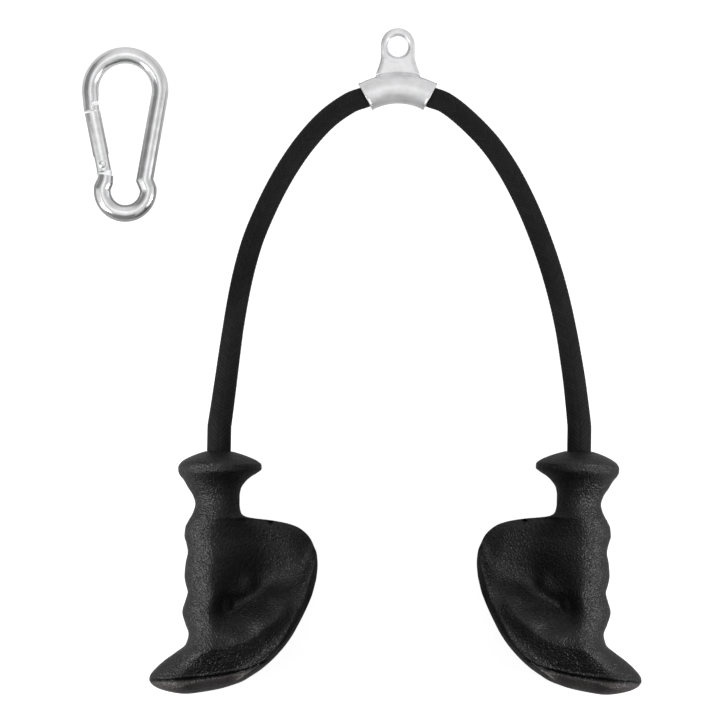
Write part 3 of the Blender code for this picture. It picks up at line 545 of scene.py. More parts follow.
def set_world():
    """Studio tent: even overhead, one bright panel running back, darker at the sides and in front."""
    world = bpy.data.worlds.new("studio")
    bpy.context.scene.world = world
    world.use_nodes = True
    r = Recipe(world.node_tree)
    back = world.node_tree.nodes["Background"]
    across, back_and_front, _ = r.split(r.add("ShaderNodeTexCoord").outputs["Generated"])
    aside = r.math("ABSOLUTE", across)
    left = r.spread(across, -0.20, -0.62, 0.0, SKY_FALL_LEFT, smooth=True)
    right = r.spread(across, 0.20, 0.62, 0.0, SKY_FALL_RIGHT, smooth=True)
    tone = r.minus(r.minus(SKY_OVERHEAD, left), right)
    tone = r.times(tone, r.spread(back_and_front, -0.30, -1.00, 1.0, SKY_FRONT_SHARE, smooth=True))
    starts = r.spread(back_and_front, -0.10, 0.02, smooth=True)
    ends = r.spread(back_and_front, 0.62, 0.45, smooth=True)
    panel = r.times(r.times(r.spread(aside, 0.17, 0.09, smooth=True), starts), ends)
    tone = r.plus(tone, r.times(panel, SKY_PANEL))
    studio = r.made("ShaderNodeCombineXYZ", {0: tone, 1: tone, 2: tone})[0]
    seen = r.add("ShaderNodeLightPath").outputs["Is Camera Ray"]
    r.feed(back.inputs["Color"], r.blend(seen, studio, (1.0, 1.0, 1.0, 1)))
    back.inputs["Strength"].default_value = 1.0


def studio_card(name, place, size, turn, glow):
    """A plain card beside the set, dark or glowing, that the camera doesn't see."""
    bpy.ops.mesh.primitive_plane_add(size=1, location=place, rotation=turn)
    flag = bpy.context.object
    flag.name = name
    flag.scale = (*size, 1)
    flag.visible_camera = False
    material = new_material(
        name, Base_Color=(0.0, 0.0, 0.0, 1), Specular_IOR_Level=0.0,
        Emission_Color=(1.0, 1.0, 1.0, 1), Emission_Strength=glow,
    )[0]
    flag.data.materials.append(material)


FACING_SIDES = (0, pi / 2, 0)
FACING_FRONT = (pi / 2, 0, 0)
FACING_DOWN = (0, 0, 0)
STUDIO_CARDS = (
    # between the grips, so that each is lit from its own side, and before them, for dark hollows
    ("middle_flag", (0.0194, -0.150, 0.100), (0.20, 0.26), FACING_SIDES, 0.12),
    ("front_flag", (0.0, -0.240, 0.085), (0.60, 0.17), FACING_FRONT, 0.02),
    # beside the bright metal, so that the lamps' own image stays off it
    ("left_card", (-0.300, 0.060, 0.130), (0.26, 0.10), FACING_SIDES, 0.86),
    ("left_flag", (-0.300, 0.205, 0.130), (0.26, 0.19), FACING_SIDES, 0.26),
    # before the sleeve and the hook, for their lower bands, and over the grips, for their upper faces
    ("sleeve_card", (0.0194, 0.030, 0.040), (0.09, 0.07), FACING_FRONT, 0.54),
    ("hook_shade", (-0.145, 0.020, 0.072), (0.08, 0.13), FACING_FRONT, 0.20),
    ("grip_shade", (0.0194, -0.150, 0.170), (0.40, 0.20), FACING_DOWN, 0.44),
    ("right_card", (0.400, 0.150, 0.230), (0.46, 0.36), FACING_SIDES, 0.82),
)

bpy.context.scene.view_settings.view_transform = "Standard"
set_camera()
set_floor()
set_world()
for card in STUDIO_CARDS:
    studio_card(*card)
soft_lamp("left_softbox", (-0.62, -0.16, 0.36), (0.46, 0.55), 4.0, (-0.08, -0.14, 0.02))
soft_lamp("right_softbox", (0.66, -0.20, 0.36), (0.34, 0.55), 3.1, (0.12, -0.18, 0.02))


# ==== rope ====


ROPE_SIDES = 72
ROPE_START = 0.015
ROPE_SLEEVE_STEP = 0.001
ROPE_STEP = 0.00040
ROPE_HIDDEN_STEP = 0.004
ROPE_END_DEPTH = RECESS_DEPTH + WASHER_THICKNESS + FERRULE_LENGTH
HIDDEN_LAP = 0.014
ROPE_RELAXING = 10
AXIS_REACH = 0.014
SWELL_RISE, SWELL_FALL = (-0.070, -0.014), (0.008, 0.002)
STRAND_RELIEF = 0.00028
STRAND_MIDDLE = 0.60
ROPE_UNDERSIZE = 0.00012


def route_curve(points, fine=12):
    """Closely spaced points on one smooth curve through the points given."""
    points = [Vector(point) for point in points]
    read = []
    for k in range(len(points) - 1):
        a, b = points[k], points[k + 1]
        before = points[k - 1] if k else a + (a - b)
        after = points[k + 2] if k + 2 < len(points) else b + (b - a)
        span = (b - a).length
        leave = (b - before) / ((b - a).length + (a - before).length) * span
        arrive = (after - a) / ((after - b).length + span) * span
        for j in range(fine):
            t = j / fine
            read.append(
                a * (1 + 2 * t) * (1 - t) ** 2 + leave * t * (1 - t) ** 2
                + b * t * t * (3 - 2 * t) + arrive * t * t * (t - 1)
            )
    return read + [points[-1]]


def bend_point(angle):
    """A point on the middle line of the sleeve's bend."""
    return HANGER + BEND_RADIUS * Vector((sin(angle), cos(angle), 0))


def rope_line(side, turn):
    """The rope from the middle of the sleeve to its end inside the grip."""
    first = 0 if side == "left" else 2
    route = [(*row[first:first + 2], row[4]) for row in ROUTES]
    grip, lean = GRIPS[side]
    axis = Vector((-sin(lean), cos(lean), 0))
    inside = [bend_point(turn * BEND_HALF_ANGLE * k / 24) for k in range(24)]
    outside = route_curve([bend_point(turn * BEND_HALF_ANGLE), *route, grip + axis * AXIS_REACH])
    return inside + outside + [grip - axis * ROPE_END_DEPTH], grip, axis


def make_rope(side):
    """One leg of the rope: a tube whose strands stand in relief in a two-over-two plait."""
    turn = -1 if side == "left" else 1
    line, grip, axis = rope_line(side, turn)
    line = np.array([tuple(point) for point in line])
    along = np.concatenate([[0], np.cumsum(np.linalg.norm(np.diff(line, axis=0), axis=1))])
    relief_end = along[-1] - ROPE_END_DEPTH - COLLAR_DEPTH + HIDDEN_LAP
    # close sections where the strands are seen, wide ones inside the sleeve and the grip
    at = np.concatenate([
        np.arange(0, ROPE_START, ROPE_SLEEVE_STEP), np.arange(ROPE_START, relief_end, ROPE_STEP),
        np.arange(relief_end, along[-1], ROPE_HIDDEN_STEP), [along[-1]],
    ])
    points = np.stack([np.interp(at, along, line[:, k]) for k in range(3)], axis=1)
    for _ in range(ROPE_RELAXING):
        points[1:-1] = (points[:-2] + 2 * points[1:-1] + points[2:]) / 4
    down = (points - np.array(grip)) @ -np.array(axis)
    # thicker over the last stretch before the grip, and plain inside it
    swell = ramp(down, *SWELL_RISE) * ramp(down, *SWELL_FALL)
    radius = ROPE_RADIUS + (ROPE_END_RADIUS - ROPE_RADIUS) * swell
    around = (np.arange(ROPE_SIDES) / ROPE_SIDES)[None, :]
    rows = (at / STRAND_PITCH)[:, None]
    wave = np.sin(pi * STRAND_COLUMNS * around)
    slant = 2 * STRAND_COLUMNS * around
    lean = np.where(wave > 0, slant + rows + 0.5, rows - slant)
    crown = (1 - np.abs(2 * (lean % 1) - 1) ** STRAND_ROUNDNESS) * np.abs(wave) ** STRAND_TAPER
    relief = (crown - STRAND_MIDDLE) * STRAND_RELIEF * ramp(down, 0.002, -0.002)[:, None]
    rings = rod_rings(points, radius[:, None] + relief - ROPE_UNDERSIZE)
    rope = rolled_sheet(f"braided_rope_{side}", rings)
    layer = rope.data.uv_layers[0]
    layer.name = "rope_map"
    found = np.zeros(len(layer.data) * 2, np.float32)
    layer.data.foreach_get("uv", found)
    found = found.reshape(-1, 2)
    found[:, 1] = np.interp(found[:, 1] * (len(at) - 1), np.arange(len(at)), at)
    layer.data.foreach_set("uv", found.reshape(-1))
    finish_piece(rope, BRAID)
    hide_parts(f"rope_{side}", "rope_center")
    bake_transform(rope)


# ==== grips ====


UPPER_OUTLINE_SHARES = (
    (0.000, -0.340, 0.300),
    (0.009, -0.510, 0.500),
    (0.021, -0.690, 0.710),
    (0.037, -0.875, 0.920),
    (0.053, -0.985, 1.025),
    (0.070, -1.030, 1.030),
    (0.086, -1.025, 0.925),
    (0.103, -0.980, 0.766),
    (0.119, -0.900, 0.656),
    (0.153, -0.780, 0.520),
    (0.185, -0.660, 0.490),
    (0.218, -0.605, 0.490),
)
LOWER_OUTLINE_SHARES = (
    (0.251, -0.158, 0.127),
    (0.264, -0.167, 0.146),
    (0.272, -0.173, 0.190),
    (0.279, -0.180, 0.291),
    (0.295, -0.192, 0.416),
    (0.312, -0.204, 0.476),
    (0.350, -0.210, 0.535),
    (0.383, -0.198, 0.559),
    (0.416, -0.190, 0.577),
    (0.460, -0.202, 0.582),
    (0.514, -0.209, 0.575),
    (0.547, -0.202, 0.564),
    (0.581, -0.190, 0.551),
    (0.613, -0.202, 0.533),
    (0.662, -0.221, 0.501),
    (0.712, -0.203, 0.464),
    (0.752, -0.184, 0.432),
    (0.794, -0.200, 0.390),
    (0.827, -0.256, 0.350),
    (0.860, -0.321, 0.304),
    (0.893, -0.374, 0.249),
    (0.926, -0.411, 0.179),
    (0.942, -0.416, 0.142),
    (0.959, -0.404, 0.083),
    (0.976, -0.369, 0.006),
    (0.992, -0.291, -0.113),
    (1.000, -0.204, -0.202),
)
RIM_LINE_SHARES = (
    (-0.416, 0.942, 1.00),
    (-0.114, 0.926, 1.00),
    (0.146, 0.892, 1.00),
    (0.270, 0.849, 0.97),
    (0.395, 0.777, 0.82),
    (0.478, 0.676, 0.63),
    (0.530, 0.561, 0.48),
    (0.561, 0.475, 0.30),
    (0.590, 0.300, 0.10),
)
FAR_RIM_SHARES = (
    (-0.416, 1.00),
    (0.200, 1.00),
    (0.270, 0.88),
    (0.350, 0.40),
    (0.430, -0.60),
    (0.600, -1.20),
)
PALM_REST_SHARES = (
    (0.250, -0.02, -0.02, -0.28, 0.24),
    (0.300, -0.08, -0.06, -0.44, 0.48),
    (0.345, -0.13, -0.09, -0.46, 0.66),
    (0.430, -0.19, -0.13, -0.40, 0.84),
    (0.540, -0.25, 0.06, -0.16, 0.95),
    (0.630, -0.24, 0.34, 0.08, 0.97),
    (0.700, -0.12, 0.56, 0.04, 0.97),
    (0.760, 0.10, 0.70, -0.26, 0.96),
    (0.820, 0.35, 0.80, -0.70, 0.92),
    (0.880, 0.50, 0.86, -0.86, 0.86),
    (1.000, 0.50, 0.88, -0.84, 0.84),
)
PALM_VALLEY_SHARES = (
    (0.250, 0.30),
    (0.430, 0.29),
    (0.540, 0.20),
    (0.630, 0.14),
    (0.730, 0.11),
    (0.820, 0.09),
    (1.000, 0.05),
)
TOP_EDGE_SHARES = (
    (0.090, 0.200),
    (0.125, 0.251),
    (0.145, 0.264),
    (0.190, 0.272),
    (0.291, 0.279),
    (0.416, 0.295),
    (0.476, 0.312),
    (0.535, 0.350),
    (0.559, 0.383),
    (0.577, 0.416),
    (0.590, 0.440),
)
PALM_SWELL_SHARES = (
    (0.050, 0.620, 0.060, 0.075, -0.15),
    (0.180, 0.545, 0.050, 0.045, 0.15),
    (0.330, 0.590, 0.055, 0.040, 0.14),
    (0.240, 0.690, 0.055, 0.040, 0.07),
    (0.090, 0.755, 0.080, 0.035, 0.07),
)


class ShareCurve:
    """A smooth curve through a table's points that never swings past them."""

    def __init__(self, rows, column=1):
        self.x = np.array([row[0] for row in rows])
        self.y = np.array([row[column] for row in rows])
        steps = np.diff(self.y) / np.diff(self.x)
        self.slope = np.zeros(len(rows))
        self.slope[0], self.slope[-1] = steps[0], steps[-1]
        before, after = steps[:-1], steps[1:]
        same = before * after > 0
        total = np.where(same, before + after, 1)
        self.slope[1:-1] = np.where(same, 2 * before * after / total, 0)

    def __call__(self, at):
        at = np.clip(at, self.x[0], self.x[-1])
        i = np.clip(np.searchsorted(self.x, at, side="right") - 1, 0, len(self.x) - 2)
        span = self.x[i + 1] - self.x[i]
        t = (at - self.x[i]) / span
        start = (1 + 2 * t) * (1 - t) ** 2 * self.y[i] + t * (1 - t) ** 2 * span * self.slope[i]
        return start + t * t * (3 - 2 * t) * self.y[i + 1] + t * t * (t - 1) * span * self.slope[i + 1]


def scaled(rows, *units):
    return [tuple(value * unit for value, unit in zip(row, units)) for row in rows]


OUTLINE = scaled(UPPER_OUTLINE_SHARES, GRIP_LENGTH, FLANGE_RADIUS, FLANGE_RADIUS)
OUTLINE += scaled(LOWER_OUTLINE_SHARES, GRIP_LENGTH, GRIP_SPAN, GRIP_SPAN)
outline_left, outline_right = (ShareCurve(OUTLINE, column) for column in (1, 2))
RIM_LINE = scaled(RIM_LINE_SHARES, GRIP_SPAN, GRIP_LENGTH, RIM_DEPTH)
rim_height, rim_depth = (ShareCurve(RIM_LINE, column) for column in (1, 2))
far_rim_depth = ShareCurve(scaled(FAR_RIM_SHARES, GRIP_SPAN, RIM_DEPTH))
PALM_REST = scaled(PALM_REST_SHARES, GRIP_LENGTH, *[FLANGE_RADIUS] * 4)
palm_floor, palm_front, palm_edge, palm_back = (
    ShareCurve(PALM_REST, column) for column in (1, 2, 3, 4)
)
palm_valley = ShareCurve(scaled(PALM_VALLEY_SHARES, GRIP_LENGTH, GRIP_SPAN))
top_edge = ShareCurve(scaled(TOP_EDGE_SHARES, GRIP_SPAN, GRIP_LENGTH))
base_bottom = ShareCurve(
    [(row[1], row[0]) for row in OUTLINE if row[0] >= 0.94 * GRIP_LENGTH]
    + [(row[2], row[0]) for row in reversed(OUTLINE) if row[0] >= 0.46 * GRIP_LENGTH]
)


# the column, its fuller flank above, and its round front
COLUMN_SHARE = 0.150
FLANK_SHARE = 0.085
COLUMN_FALL, COLUMN_POWER = 1.05, 1.6
UPPER_DROP = 0.0025
FLANK_FADE = (0.64, 0.46)
# the dish up to the palm rest's crest, and the fall outside the crest
DISH_POWER = 1.9
OUTSIDE_WIDTH, OUTSIDE_FALL, OUTSIDE_FADE = 0.017, 0.0070, (0.58, 0.42)
# the back, which turns towards both sides from here
BACK_TURN_SHARE = 0.24
BACK_OUTER_POWER, BACK_INNER_POWER = 2.2, 1.5
# the rim above the parting line, and how it rolls into the base
RIM_SLOPE = 1.15
ROLL_FOOT, ROLL_RISE, ROLL_WIDTH, ROLL_POWER = 0.62, 0.0073, 0.0145, 1.35
ROLL_FALL = 0.80
ROLL_ACROSS, ROLL_ALONG = (-0.30, -0.12), (0.42, 0.72)
DISH_FILLET, RIM_FILLET = 0.0080, 0.0090
BORE_WALL = 0.0102
# roundings at the outline
HEEL_SHARE, REST_FROM_SHARE = -0.03, 0.09
UPPER_ROUNDING, TOP_ROUNDING = 0.0085, 0.0075
ROUNDING_FADE = (0.62, 0.48)
# heights of the sections: half of them down to the first share, half from there to the second,
# and the last few, where the base closes
CLOSE_FROM_SHARE, CLOSE_TO_SHARE = 0.6, 0.985
CLOSING_SHARES = (0.9885, 0.992, 0.9945, 0.9965, 0.998)
# how much of the spacing across goes with the circle, closer together at the edges
EDGE_CROWDING = 0.75
# where the round flange turns into the palm rest
NECK_SHARES = (0.185, 0.290)
# how far the moulding stands off its bore at the top, and how much more at the bottom
DRIFT_TOP, DRIFT_GROWTH = 0.0006, 0.0020
# the recess's mouth stays this far behind the grip's middle
RECESS_SKIN = 0.0015
# play and chamfer of the bore's mouth, and how far cutting tools stand out
ROPE_PLAY, MOUTH_CHAMFER = 0.0004, (0.0006, 0.0008)
OVERCUT, RECESS_LAP = 0.004, 0.002
# lip and groove of the parting line, and where they show
LIP_RISE, LIP_PLACE, LIP_WIDTH = 0.00050, 0.0009, 0.0008
GROOVE_DEPTH, GROOVE_PLACE, GROOVE_WIDTH = 0.00095, 0.0008, 0.0007
PARTING_ALONG, PARTING_THICKNESS = (0.52, 0.66), 0.006
# painted light: the base's smooth face is painted a paler grey, beginning below the groove
PAINTED_LIGHT_BELOW, PAINTED_LIGHT_ALONG, PAINTED_LIGHT_OUT = (0.0010, 0.0024), (0.80, 0.88), -0.002


def soft_max(a, b, fillet=FILLET):
    return (a + b + np.sqrt((a - b) ** 2 + fillet**2)) / 2


def edge_round(distance, reach):
    t = np.clip(distance / reach, 0, 1)
    return np.sqrt(1 - (1 - t) ** 2)


def grip_drift(v):
    """How far the moulding stands off its own bore across the grip."""
    return DRIFT_TOP + DRIFT_GROWTH * v / GRIP_LENGTH


def below_rim(u, v):
    """How far a place lies below the moulding's parting line, at right angles to it."""
    step = 0.0005
    slope = (rim_height(u + step) - rim_height(u - step)) / (2 * step)
    return (v - rim_height(u)) / np.sqrt(1 + slope * slope)


def palm_heights(u, v, left, right):
    """Front and back of the grip over a place across and a height, before its edges are rounded."""
    along = v / GRIP_LENGTH
    column_half = COLUMN_SHARE * GRIP_SPAN
    upper = ramp(along, *FLANK_FADE)
    flank = column_half + FLANK_SHARE * GRIP_SPAN * upper
    x = np.maximum((u - left - column_half) / flank, 0)
    column = (COLUMN_DEPTH - UPPER_DROP * upper) * (1 - COLUMN_FALL * x**COLUMN_POWER)
    floor, valley = palm_floor(v), palm_valley(v)
    edge = right - RIM_ROUNDING
    rise = np.clip((u - valley) / np.maximum(edge - valley, RIM_ROUNDING), 0, 1)
    beyond = floor + (palm_front(v) - floor) * rise**DISH_POWER
    outside = np.maximum(u - right + OUTSIDE_WIDTH, 0) / OUTSIDE_WIDTH
    beyond = beyond - OUTSIDE_FALL * outside**2 * ramp(along, *OUTSIDE_FADE)
    dish = np.where(u > valley, beyond, floor + FILLET * ((valley - u) / GRIP_SPAN) ** 2)
    back_at = BACK_TURN_SHARE * GRIP_SPAN
    turn = np.clip((u - back_at) / np.maximum(edge - back_at, RIM_ROUNDING), 0, 1) ** BACK_OUTER_POWER
    outer = palm_back(v) - (palm_back(v) + palm_edge(v)) * turn
    turn = ramp(u, back_at, left) ** BACK_INNER_POWER
    inner = palm_back(v) * (1 - turn) + turn * np.minimum(palm_back(v), COLUMN_DEPTH)
    back_rest = np.where(u > back_at, outer, inner)
    above = np.maximum(rim_height(u) - v, 0)
    drop = RIM_SLOPE * above**2 / (above + RIM_ROUNDING)
    inside = np.maximum(-below_rim(u, v), 0)
    past = np.maximum(inside - ROLL_WIDTH, 0)
    roll = 1 - (1 - np.minimum(inside / ROLL_WIDTH, 1)) ** ROLL_POWER
    rolled = ROLL_FOOT * rim_depth(u) + ROLL_RISE * roll - ROLL_FALL * past**2 / (past + RIM_ROUNDING)
    share = eased(ramp(u / GRIP_SPAN, *ROLL_ACROSS)) * eased(ramp(along, *ROLL_ALONG))
    rim = (1 - share) * (rim_depth(u) - drop) + share * rolled
    front = soft_max(soft_max(column, dish, DISH_FILLET), rim, RIM_FILLET)
    back = soft_max(soft_max(column, back_rest), far_rim_depth(u) - drop)
    for across, down, wide, long, swell in PALM_SWELL_SHARES:
        away = ((u / GRIP_SPAN - across) / wide) ** 2 + ((along - down) / long) ** 2
        front = front + swell * FLANGE_RADIUS * np.exp(-away)
    off = u + grip_drift(v)
    wall = np.where(np.abs(off) < BORE_WALL, np.sqrt(np.maximum(BORE_WALL**2 - off * off, 0)), -1)
    return np.maximum(front, wall), -np.maximum(back, wall)


def palm_edges(u, v, left, right):
    """How far the rounding at the outline has closed, from 0 on the outline to 1 inside it."""
    column = left + COLUMN_SHARE * GRIP_SPAN
    heel = HEEL_SHARE * GRIP_SPAN
    reach = RIM_ROUNDING + UPPER_ROUNDING * ramp(v / GRIP_LENGTH, *ROUNDING_FADE)
    inner = edge_round(u - left, np.maximum(column, heel) - left)
    closed = np.minimum(inner, edge_round(right - u, reach))
    rest = edge_round(v - top_edge(u), TOP_ROUNDING)
    closed = np.where(u > REST_FROM_SHARE * GRIP_SPAN, np.minimum(closed, rest), closed)
    under = edge_round(base_bottom(u) - v, np.maximum(base_bottom(u) - rim_height(u), GAP))
    return np.where(v > rim_height(u), np.minimum(closed, under), closed)


def grip_rings(across=118, rows=330):
    """All sections of the grip, as points (across, out towards the viewer, down the grip)."""
    wide = np.linspace(0, CLOSE_FROM_SHARE, rows // 2)[:-1]
    close = np.linspace(CLOSE_FROM_SHARE, CLOSE_TO_SHARE, rows // 2)
    stations = np.concatenate([wide, close, CLOSING_SHARES])
    rings = []
    even = np.arange(across + 1) / across
    share = EDGE_CROWDING * (1 - np.cos(pi * even)) / 2 + (1 - EDGE_CROWDING) * even
    for v in stations * GRIP_LENGTH:
        left, right = outline_left(v), outline_right(v)
        middle, half = (left + right) / 2, (right - left) / 2
        u = left + (right - left) * share
        high = np.sqrt(np.maximum(half**2 - (u - middle) ** 2, 0)) * min(1, FLANGE_RADIUS / half)
        low = -high
        blend = eased(ramp(v / GRIP_LENGTH, *NECK_SHARES))
        if blend > 0:
            top, bottom = palm_heights(u, v, left, right)
            centre = (top + bottom) / 2
            thick = (top - bottom) / 2 * palm_edges(u, v, left, right)
            high = (1 - blend) * high + blend * (centre + thick)
            low = (1 - blend) * low + blend * (centre - thick)
        below = below_rim(u, v)
        shown = ramp(v / GRIP_LENGTH, *PARTING_ALONG) * ramp(high - low, 0, PARTING_THICKNESS)
        high = high + shown * LIP_RISE * np.exp(-(((below + LIP_PLACE) / LIP_WIDTH) ** 2))
        high = high - shown * GROOVE_DEPTH * np.exp(-(((below - GROOVE_PLACE) / GROOVE_WIDTH) ** 2))
        front = np.stack([u + grip_drift(v), high, np.full_like(u, v)], 1)
        back = np.stack([u + grip_drift(v), low, np.full_like(u, v)], 1)
        rings.append(np.concatenate([front, back[-2:0:-1]]))
    return np.array(rings)


def grip_frame(side):
    """From across, out and down to the table's own axes."""
    place, lean = GRIPS[side]
    flip = Matrix.Scale(-1, 4, (1, 0, 0)) if side == "right" else Matrix.Identity(4)
    lying = Matrix(((1, 0, 0, 0), (0, 0, -1, 0), (0, 1, 0, 0), (0, 0, 0, 1)))
    turn = Matrix.Rotation(lean, 4, "Z") @ lying
    return Matrix.Translation(place) @ turn @ flip


def make_grip(side, rings):
    """A moulded grip, bored for the liner, with a recess that is open at the back of its base."""
    grip = rolled_sheet(f"moulded_grip_{side}", rings)
    rope_room = ROPE_END_RADIUS + ROPE_PLAY
    mouth_room = rope_room + MOUTH_CHAMFER[0]
    bore = turned_piece(
        "grip_bore",
        [
            (0, -OVERCUT), (mouth_room, -OVERCUT),
            (mouth_room, 0), (rope_room, MOUTH_CHAMFER[1]),
            (rope_room, COLLAR_DEPTH), (LINER_RADIUS + GAP, COLLAR_DEPTH),
            (LINER_RADIUS + GAP, RECESS_DEPTH), (RECESS_RADIUS, RECESS_DEPTH),
            (RECESS_RADIUS, RECESS_END), (0, RECESS_END),
        ],
    )
    cut(grip, bore)
    mouth = turned_piece(
        "recess_mouth",
        [
            (0, RECESS_END - RECESS_LAP), (RECESS_RADIUS - GAP, RECESS_END - RECESS_LAP),
            (RECESS_RADIUS - GAP, GRIP_LENGTH + OVERCUT), (0, GRIP_LENGTH + OVERCUT),
        ],
    )
    pick(mouth)
    work_mesh(lambda: bpy.ops.mesh.bisect(
        plane_co=(0, -RECESS_SKIN, 0), plane_no=(0, 1, 0), use_fill=True, clear_outer=True
    ))
    cut(grip, mouth)
    places = points_of(grip)
    down = places[:, 2]
    # where the base's face gets its painted light, a paler grey in the rubber material
    below = below_rim(places[:, 0] - grip_drift(down), down)
    painted_light_share = ramp(below, *PAINTED_LIGHT_BELOW) * ramp(down / GRIP_LENGTH, *PAINTED_LIGHT_ALONG)
    painted_light_share = painted_light_share * (places[:, 1] > PAINTED_LIGHT_OUT)
    mask = grip.data.attributes.new("painted_light_base_face", "FLOAT", "POINT")
    mask.data.foreach_set("value", painted_light_share.astype(np.float32))
    matrix = grip_frame(side)
    grip.data.transform(matrix)
    if matrix.determinant() < 0:
        grip.data.flip_normals()
    soften(grip, 40)
    finish_piece(grip, RUBBER)
    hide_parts(f"grip_{side}")
    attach(grip, f"{side}_handle")


for side in ("left", "right"):
    make_rope(side)
rings = grip_rings()
for side in ("left", "right"):
    make_grip(side, rings)


# ==== hanger casting ====


LUG_THICKNESS = 0.0060
LUG_RADIUS = 0.0097
LUG_RISE = 0.0164
LUG_FOOT_HALF_WIDTH = 0.0126
EYE_RADIUS = 0.0061
CROWN = BEND_RADIUS + SLEEVE_RADIUS
EYE_HEIGHT = CROWN + LUG_RISE - 0.0009
LUG_FLARE_SHARE, LUG_FLARE_POWER = 0.56, 1.3
LUG_SECTIONS, LUG_CROWDING = 70, 1.6
BODY_INSET = 0.00022
LIP_HALF_ANGLE = 0.0115
LIP_LAP = 0.010
BORE_PAST_ANGLE = 0.05
COUNTERSINK_DEPTH = 0.0030
COUNTERSINK_PLACE = LUG_THICKNESS / 2 - 0.0003
COUNTERSINK_RADII = (EYE_RADIUS - 0.0006, EYE_RADIUS + 0.0024)
SKIN_VOXEL = 0.00031
PILLOW_DROP, PILLOW_WIDTH = 0.00085, 0.0034
FOOT_GROOVE_DEPTH, FOOT_GROOVE_WIDTH, FOOT_GROOVE_DROP = 0.00130, 0.00055, 0.00010
DENT_DEPTH, DENT_RADIUS, DENT_WIDTH = 0.00014, 0.0092, 0.0010
DENT_LEFT, DENT_DOWN = 0.0005, 0.0008
DENT_SLOPE, DENT_SLOPE_DOWN, DENT_FADE = 0.6, 0.0045, 0.004
LUG_FACE_FROM = 0.0012
LUG_FOOT_FADE = (-0.0009, -0.0004)


def spun_bend(name, radius, half_angle, steps):
    """A bent round bar: a disc spun about the middle of the sleeve's bend, closed at both ends."""
    piece = new_piece(
        name, bpy.ops.mesh.primitive_circle_add, vertices=72, radius=radius, fill_type="NGON",
        location=bend_point(-half_angle), rotation=(0, pi / 2, half_angle),
    )
    settle(piece)
    work_mesh(
        lambda: bpy.ops.mesh.spin(steps=steps, angle=2 * half_angle, center=HANGER, axis=(0, 0, 1)),
        lambda: bpy.ops.mesh.remove_doubles(threshold=1e-6),
        face_outward,
    )
    return piece


def lug_half_width(y):
    """Half the lug's width at a height above the middle of the bend."""
    up = np.clip((y - CROWN) / (LUG_RISE * LUG_FLARE_SHARE), 0, 1)
    side = LUG_RADIUS + (LUG_FOOT_HALF_WIDTH - LUG_RADIUS) * (1 - up) ** LUG_FLARE_POWER
    over = np.maximum(y - CROWN - LUG_RISE, 0)
    return np.where(over > 0, np.sqrt(np.maximum(LUG_RADIUS**2 - over**2, 0)), side)


def lug_plate():
    """The lug as a block of thin sections, its sides drawn in to the outline."""
    low, high = BEND_RADIUS, CROWN + LUG_RISE + LUG_RADIUS
    middle = HANGER + Vector((0, (low + high) / 2, 0))
    lug = new_piece("lug", bpy.ops.mesh.primitive_cube_add, size=1, location=middle)
    lug.scale = (2, high - low, LUG_THICKNESS)
    settle(lug)
    for k in range(1, LUG_SECTIONS):
        # closer together towards the round top
        at = low + (high - low) * (1 - (1 - k / LUG_SECTIONS) ** LUG_CROWDING)
        place = HANGER + Vector((0, at, 0))
        work_mesh(lambda: bpy.ops.mesh.bisect(plane_co=place, plane_no=(0, 1, 0)))
    places = points_of(lug)
    y = np.minimum(places[:, 1] - HANGER.y, high - 0.00001)
    places[:, 0] = HANGER.x + np.sign(places[:, 0] - HANGER.x) * lug_half_width(y)
    move_points(lug, places)
    return lug


